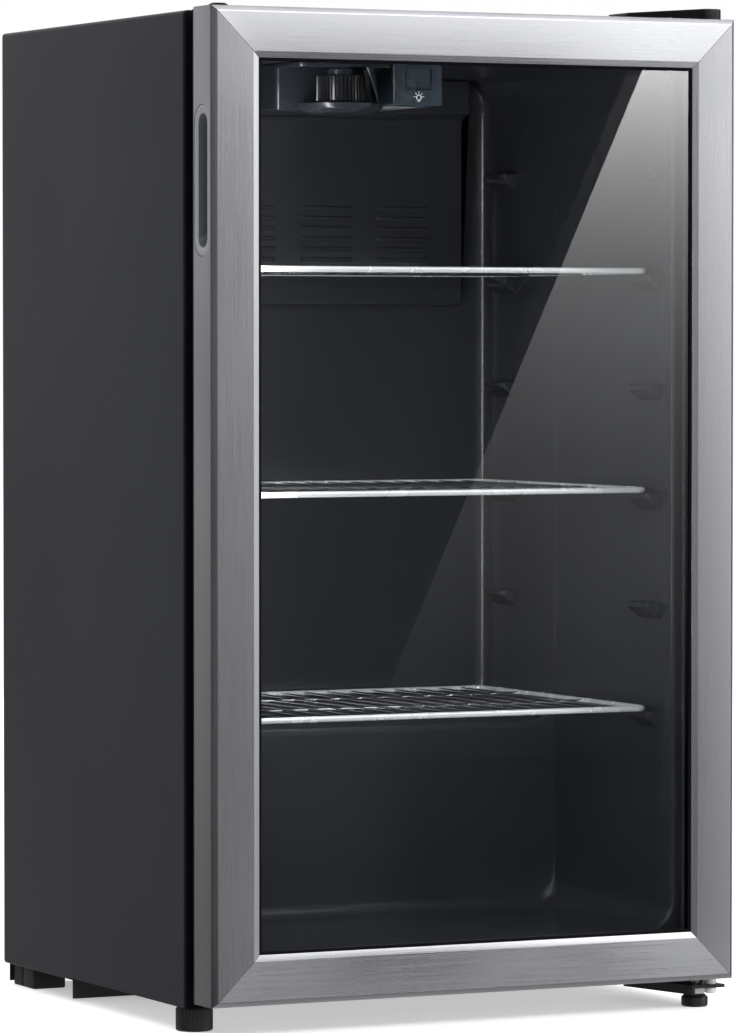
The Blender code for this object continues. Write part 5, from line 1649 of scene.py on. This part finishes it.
lightSetup = {
    "fill": 0.75,
    "byHeight": (  # degrees above the horizon and strength, as metal and gloss see the studio
        (-90, 0.02), (-58, 0.02), (-44, 0.18), (-28, 0.52),
        (-20, 0.44), (-12, 0.38), (-9, 0.31), (-6.5, 0.25),
        (-3, 0.52), (0, 0.70), (3, 0.85), (8, 1.3), (15, 2.1), (25, 2.7), (45, 2.3), (64, 1.2), (90, 0.8),
    ),
    "byTurn": (  # degrees to the right of straight ahead of the door, and strength
        (-180, 0.50), (-154, 0.80), (-137, 0.38), (-116, 0.10),
        (-90, 0.08), (-70, 0.09), (-58, 0.13), (-42, 0.48),
        (-25, 0.75), (-4, 0.50), (8, 0.40), (16, 0.50),
        (24.6, 0.76), (25.7, 1.15), (26.7, 1.68), (27.7, 1.68),
        (28.7, 1.30), (29.8, 0.76), (32, 1.00), (40, 1.9), (56, 2.6),
        (86, 0.5), (105, 0.15), (125, 0.12), (150, 0.30), (180, 0.50),
    ),
    "floorByHeight": ((-90, 0.60), (-16, 0.50), (-9, 0.0), (90, 0.0)),  # pale floor behind the object
    "floorByTurn": ((-180, 1.0), (-125, 1.0), (-100, 0.0), (75, 0.0), (110, 1.0), (180, 1.0)),
    "areas": (  # name, place, aim, width, height, power
        ("keyFront", (-1.6, -3.2, 2.6), (0, 0, 0.5), 1.8, 1.4, 70),
        ("topSoft", (0.3, -0.4, 3.2), (0, 0, 0.4), 2.2, 2.2, 60),
        ("frontRight", (1.9, -2.8, 1.6), (0, 0, 0.5), 1.2, 1.8, 45),
        ("backFill", (0.5, 3.4, 2.0), (0, 0, 0.4), 2.0, 1.6, 45),
        ("insideStrip", (-0.176, -0.148, 0.53), (0.00, 0.17, 0.53), 0.030, 0.50, 1.25),
    ),
}


def aimed(at, towards):
    # Rotation whose local -Z looks along the line from at to towards, with local Y up.
    return (Vector(towards) - Vector(at)).to_track_quat("-Z", "Y").to_euler()


def makeLights():
    for name, at, towards, width, tall, power in lightSetup["areas"]:
        data = bpy.data.lights.new(name, "AREA")
        data.shape = "RECTANGLE"
        data.size, data.size_y, data.energy = width, tall, power
        light = bpy.data.objects.new(name, data)
        light.location = at
        light.rotation_euler = aimed(at, towards)
        light.visible_camera = False
        light.visible_glossy = name == "insideStrip"
        bpy.context.scene.collection.objects.link(light)


view = {
    "at": (-2.06103, -4.21718, 0.56370),
    "yaw": 26.127,  # degrees to the right of straight ahead
    "pitch": 1.866,  # degrees down
    "lens": 191.87,
}


def makeCamera():
    data = bpy.data.cameras.new("view")
    data.lens = view["lens"]
    data.sensor_width = 36.0
    data.clip_end = 100.0
    camera = bpy.data.objects.new("view", data)
    yaw, pitch = math.radians(view["yaw"]), math.radians(view["pitch"])
    camera.rotation_euler = (math.pi / 2 - pitch, 0, -yaw)
    camera.location = view["at"]
    bpy.context.scene.collection.objects.link(camera)
    bpy.context.scene.camera = camera


reflection = {  # a lit card, seen only as a wedge in the glass, and a black flag behind it
    "top": (0.1533, 0.7870),  # where the wedge's edge meets the top of the glass, across and up
    "low": (-0.1098, 0.2200),
    "right": 0.2080,
    "distance": 1.4,
    "glow": 6.0,
    "halved": 0.078,  # drop that halves the glow
    "tail": 0.35,
}


def mirroredSpots(spots, distance):
    # Places on the glass carried out along the mirrored lines of sight to that distance.
    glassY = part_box("outer_glass")[0].y
    eye = Vector(view["at"])
    mirrored = Vector((eye.x, 2 * glassY - eye.y, eye.z))
    carried = []
    for x, z in spots:
        onGlass = Vector((x, glassY, z))
        carried.append(onGlass + (onGlass - mirrored).normalized() * distance)
    return carried


def stageCard(name, corners, material):
    mesh = bpy.data.meshes.new(name)
    mesh.from_pydata([tuple(corner) for corner in corners], [], [tuple(range(len(corners)))])
    card = bpy.data.objects.new(name, mesh)
    bpy.context.scene.collection.objects.link(card)
    mesh.materials.append(material)
    card.visible_camera = False
    card.visible_diffuse = False
    card.visible_shadow = False
    card.visible_transmission = False
    card.visible_volume_scatter = False


def makeReflection():
    r = reflection
    (topX, topZ), (lowX, lowZ) = r["top"], r["low"]
    glassLow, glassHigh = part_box("outer_glass")
    slope = (topX - lowX) / (topZ - lowZ)
    highZ = glassHigh.z - 0.008
    wedge = [(lowX, lowZ), (topX + slope * (highZ - topZ), highZ), (r["right"], highZ), (r["right"], lowZ)]
    corners = mirroredSpots(wedge, r["distance"])
    made = bpy.data.materials.new("cardLight")
    made.use_nodes = True
    tree = made.node_tree
    tree.nodes.clear()
    out = tree.nodes.new("ShaderNodeOutputMaterial")
    light = tree.nodes.new("ShaderNodeEmission")
    coordinates = tree.nodes.new("ShaderNodeTexCoord")
    parts = tree.nodes.new("ShaderNodeSeparateXYZ")
    tree.links.new(coordinates.outputs["Object"], parts.inputs[0])
    cardLow, cardHigh = corners[0].z, corners[1].z
    power = tree.nodes.new("ShaderNodeMath")
    power.operation = "POWER"
    power.inputs[0].default_value = 2.0
    fall = (cardHigh - cardLow) / r["halved"]
    tree.links.new(spread(tree, parts.outputs["Z"], -fall, 0, cardLow, cardHigh), power.inputs[1])
    main = spread(tree, power.outputs[0], 0, r["glow"], 0, 1)
    total = tree.nodes.new("ShaderNodeMath")
    total.operation = "ADD"
    tree.links.new(main, total.inputs[0])
    tree.links.new(spread(tree, parts.outputs["Z"], 0, r["tail"], cardLow, cardHigh), total.inputs[1])
    tree.links.new(total.outputs[0], light.inputs["Strength"])
    tree.links.new(light.outputs[0], out.inputs["Surface"])
    stageCard("reflectionCard", corners, made)
    flag = [(glassLow.x + 0.008, glassLow.z + 0.008), (glassLow.x + 0.008, highZ)]
    flag += [(glassHigh.x - 0.008, highZ), (glassHigh.x - 0.008, glassLow.z + 0.008)]
    flagBlack = mouldedPlastic(
        "flagCloth",
        {
            "colour": (0.001, 0.001, 0.001), "roughness": 0.95, "grain": 90,
            "depth": 0.1, "sockets": {"Specular_IOR_Level": 0.0}
        },
    )
    stageCard("blackFlag", mirroredSpots(flag, r["distance"] + 0.06), flagBlack)


makeFloor()
makeWorld()
makeLights()
makeCamera()
makeReflection()
bpy.context.scene.view_settings.view_transform = "Standard"
print("stage made")
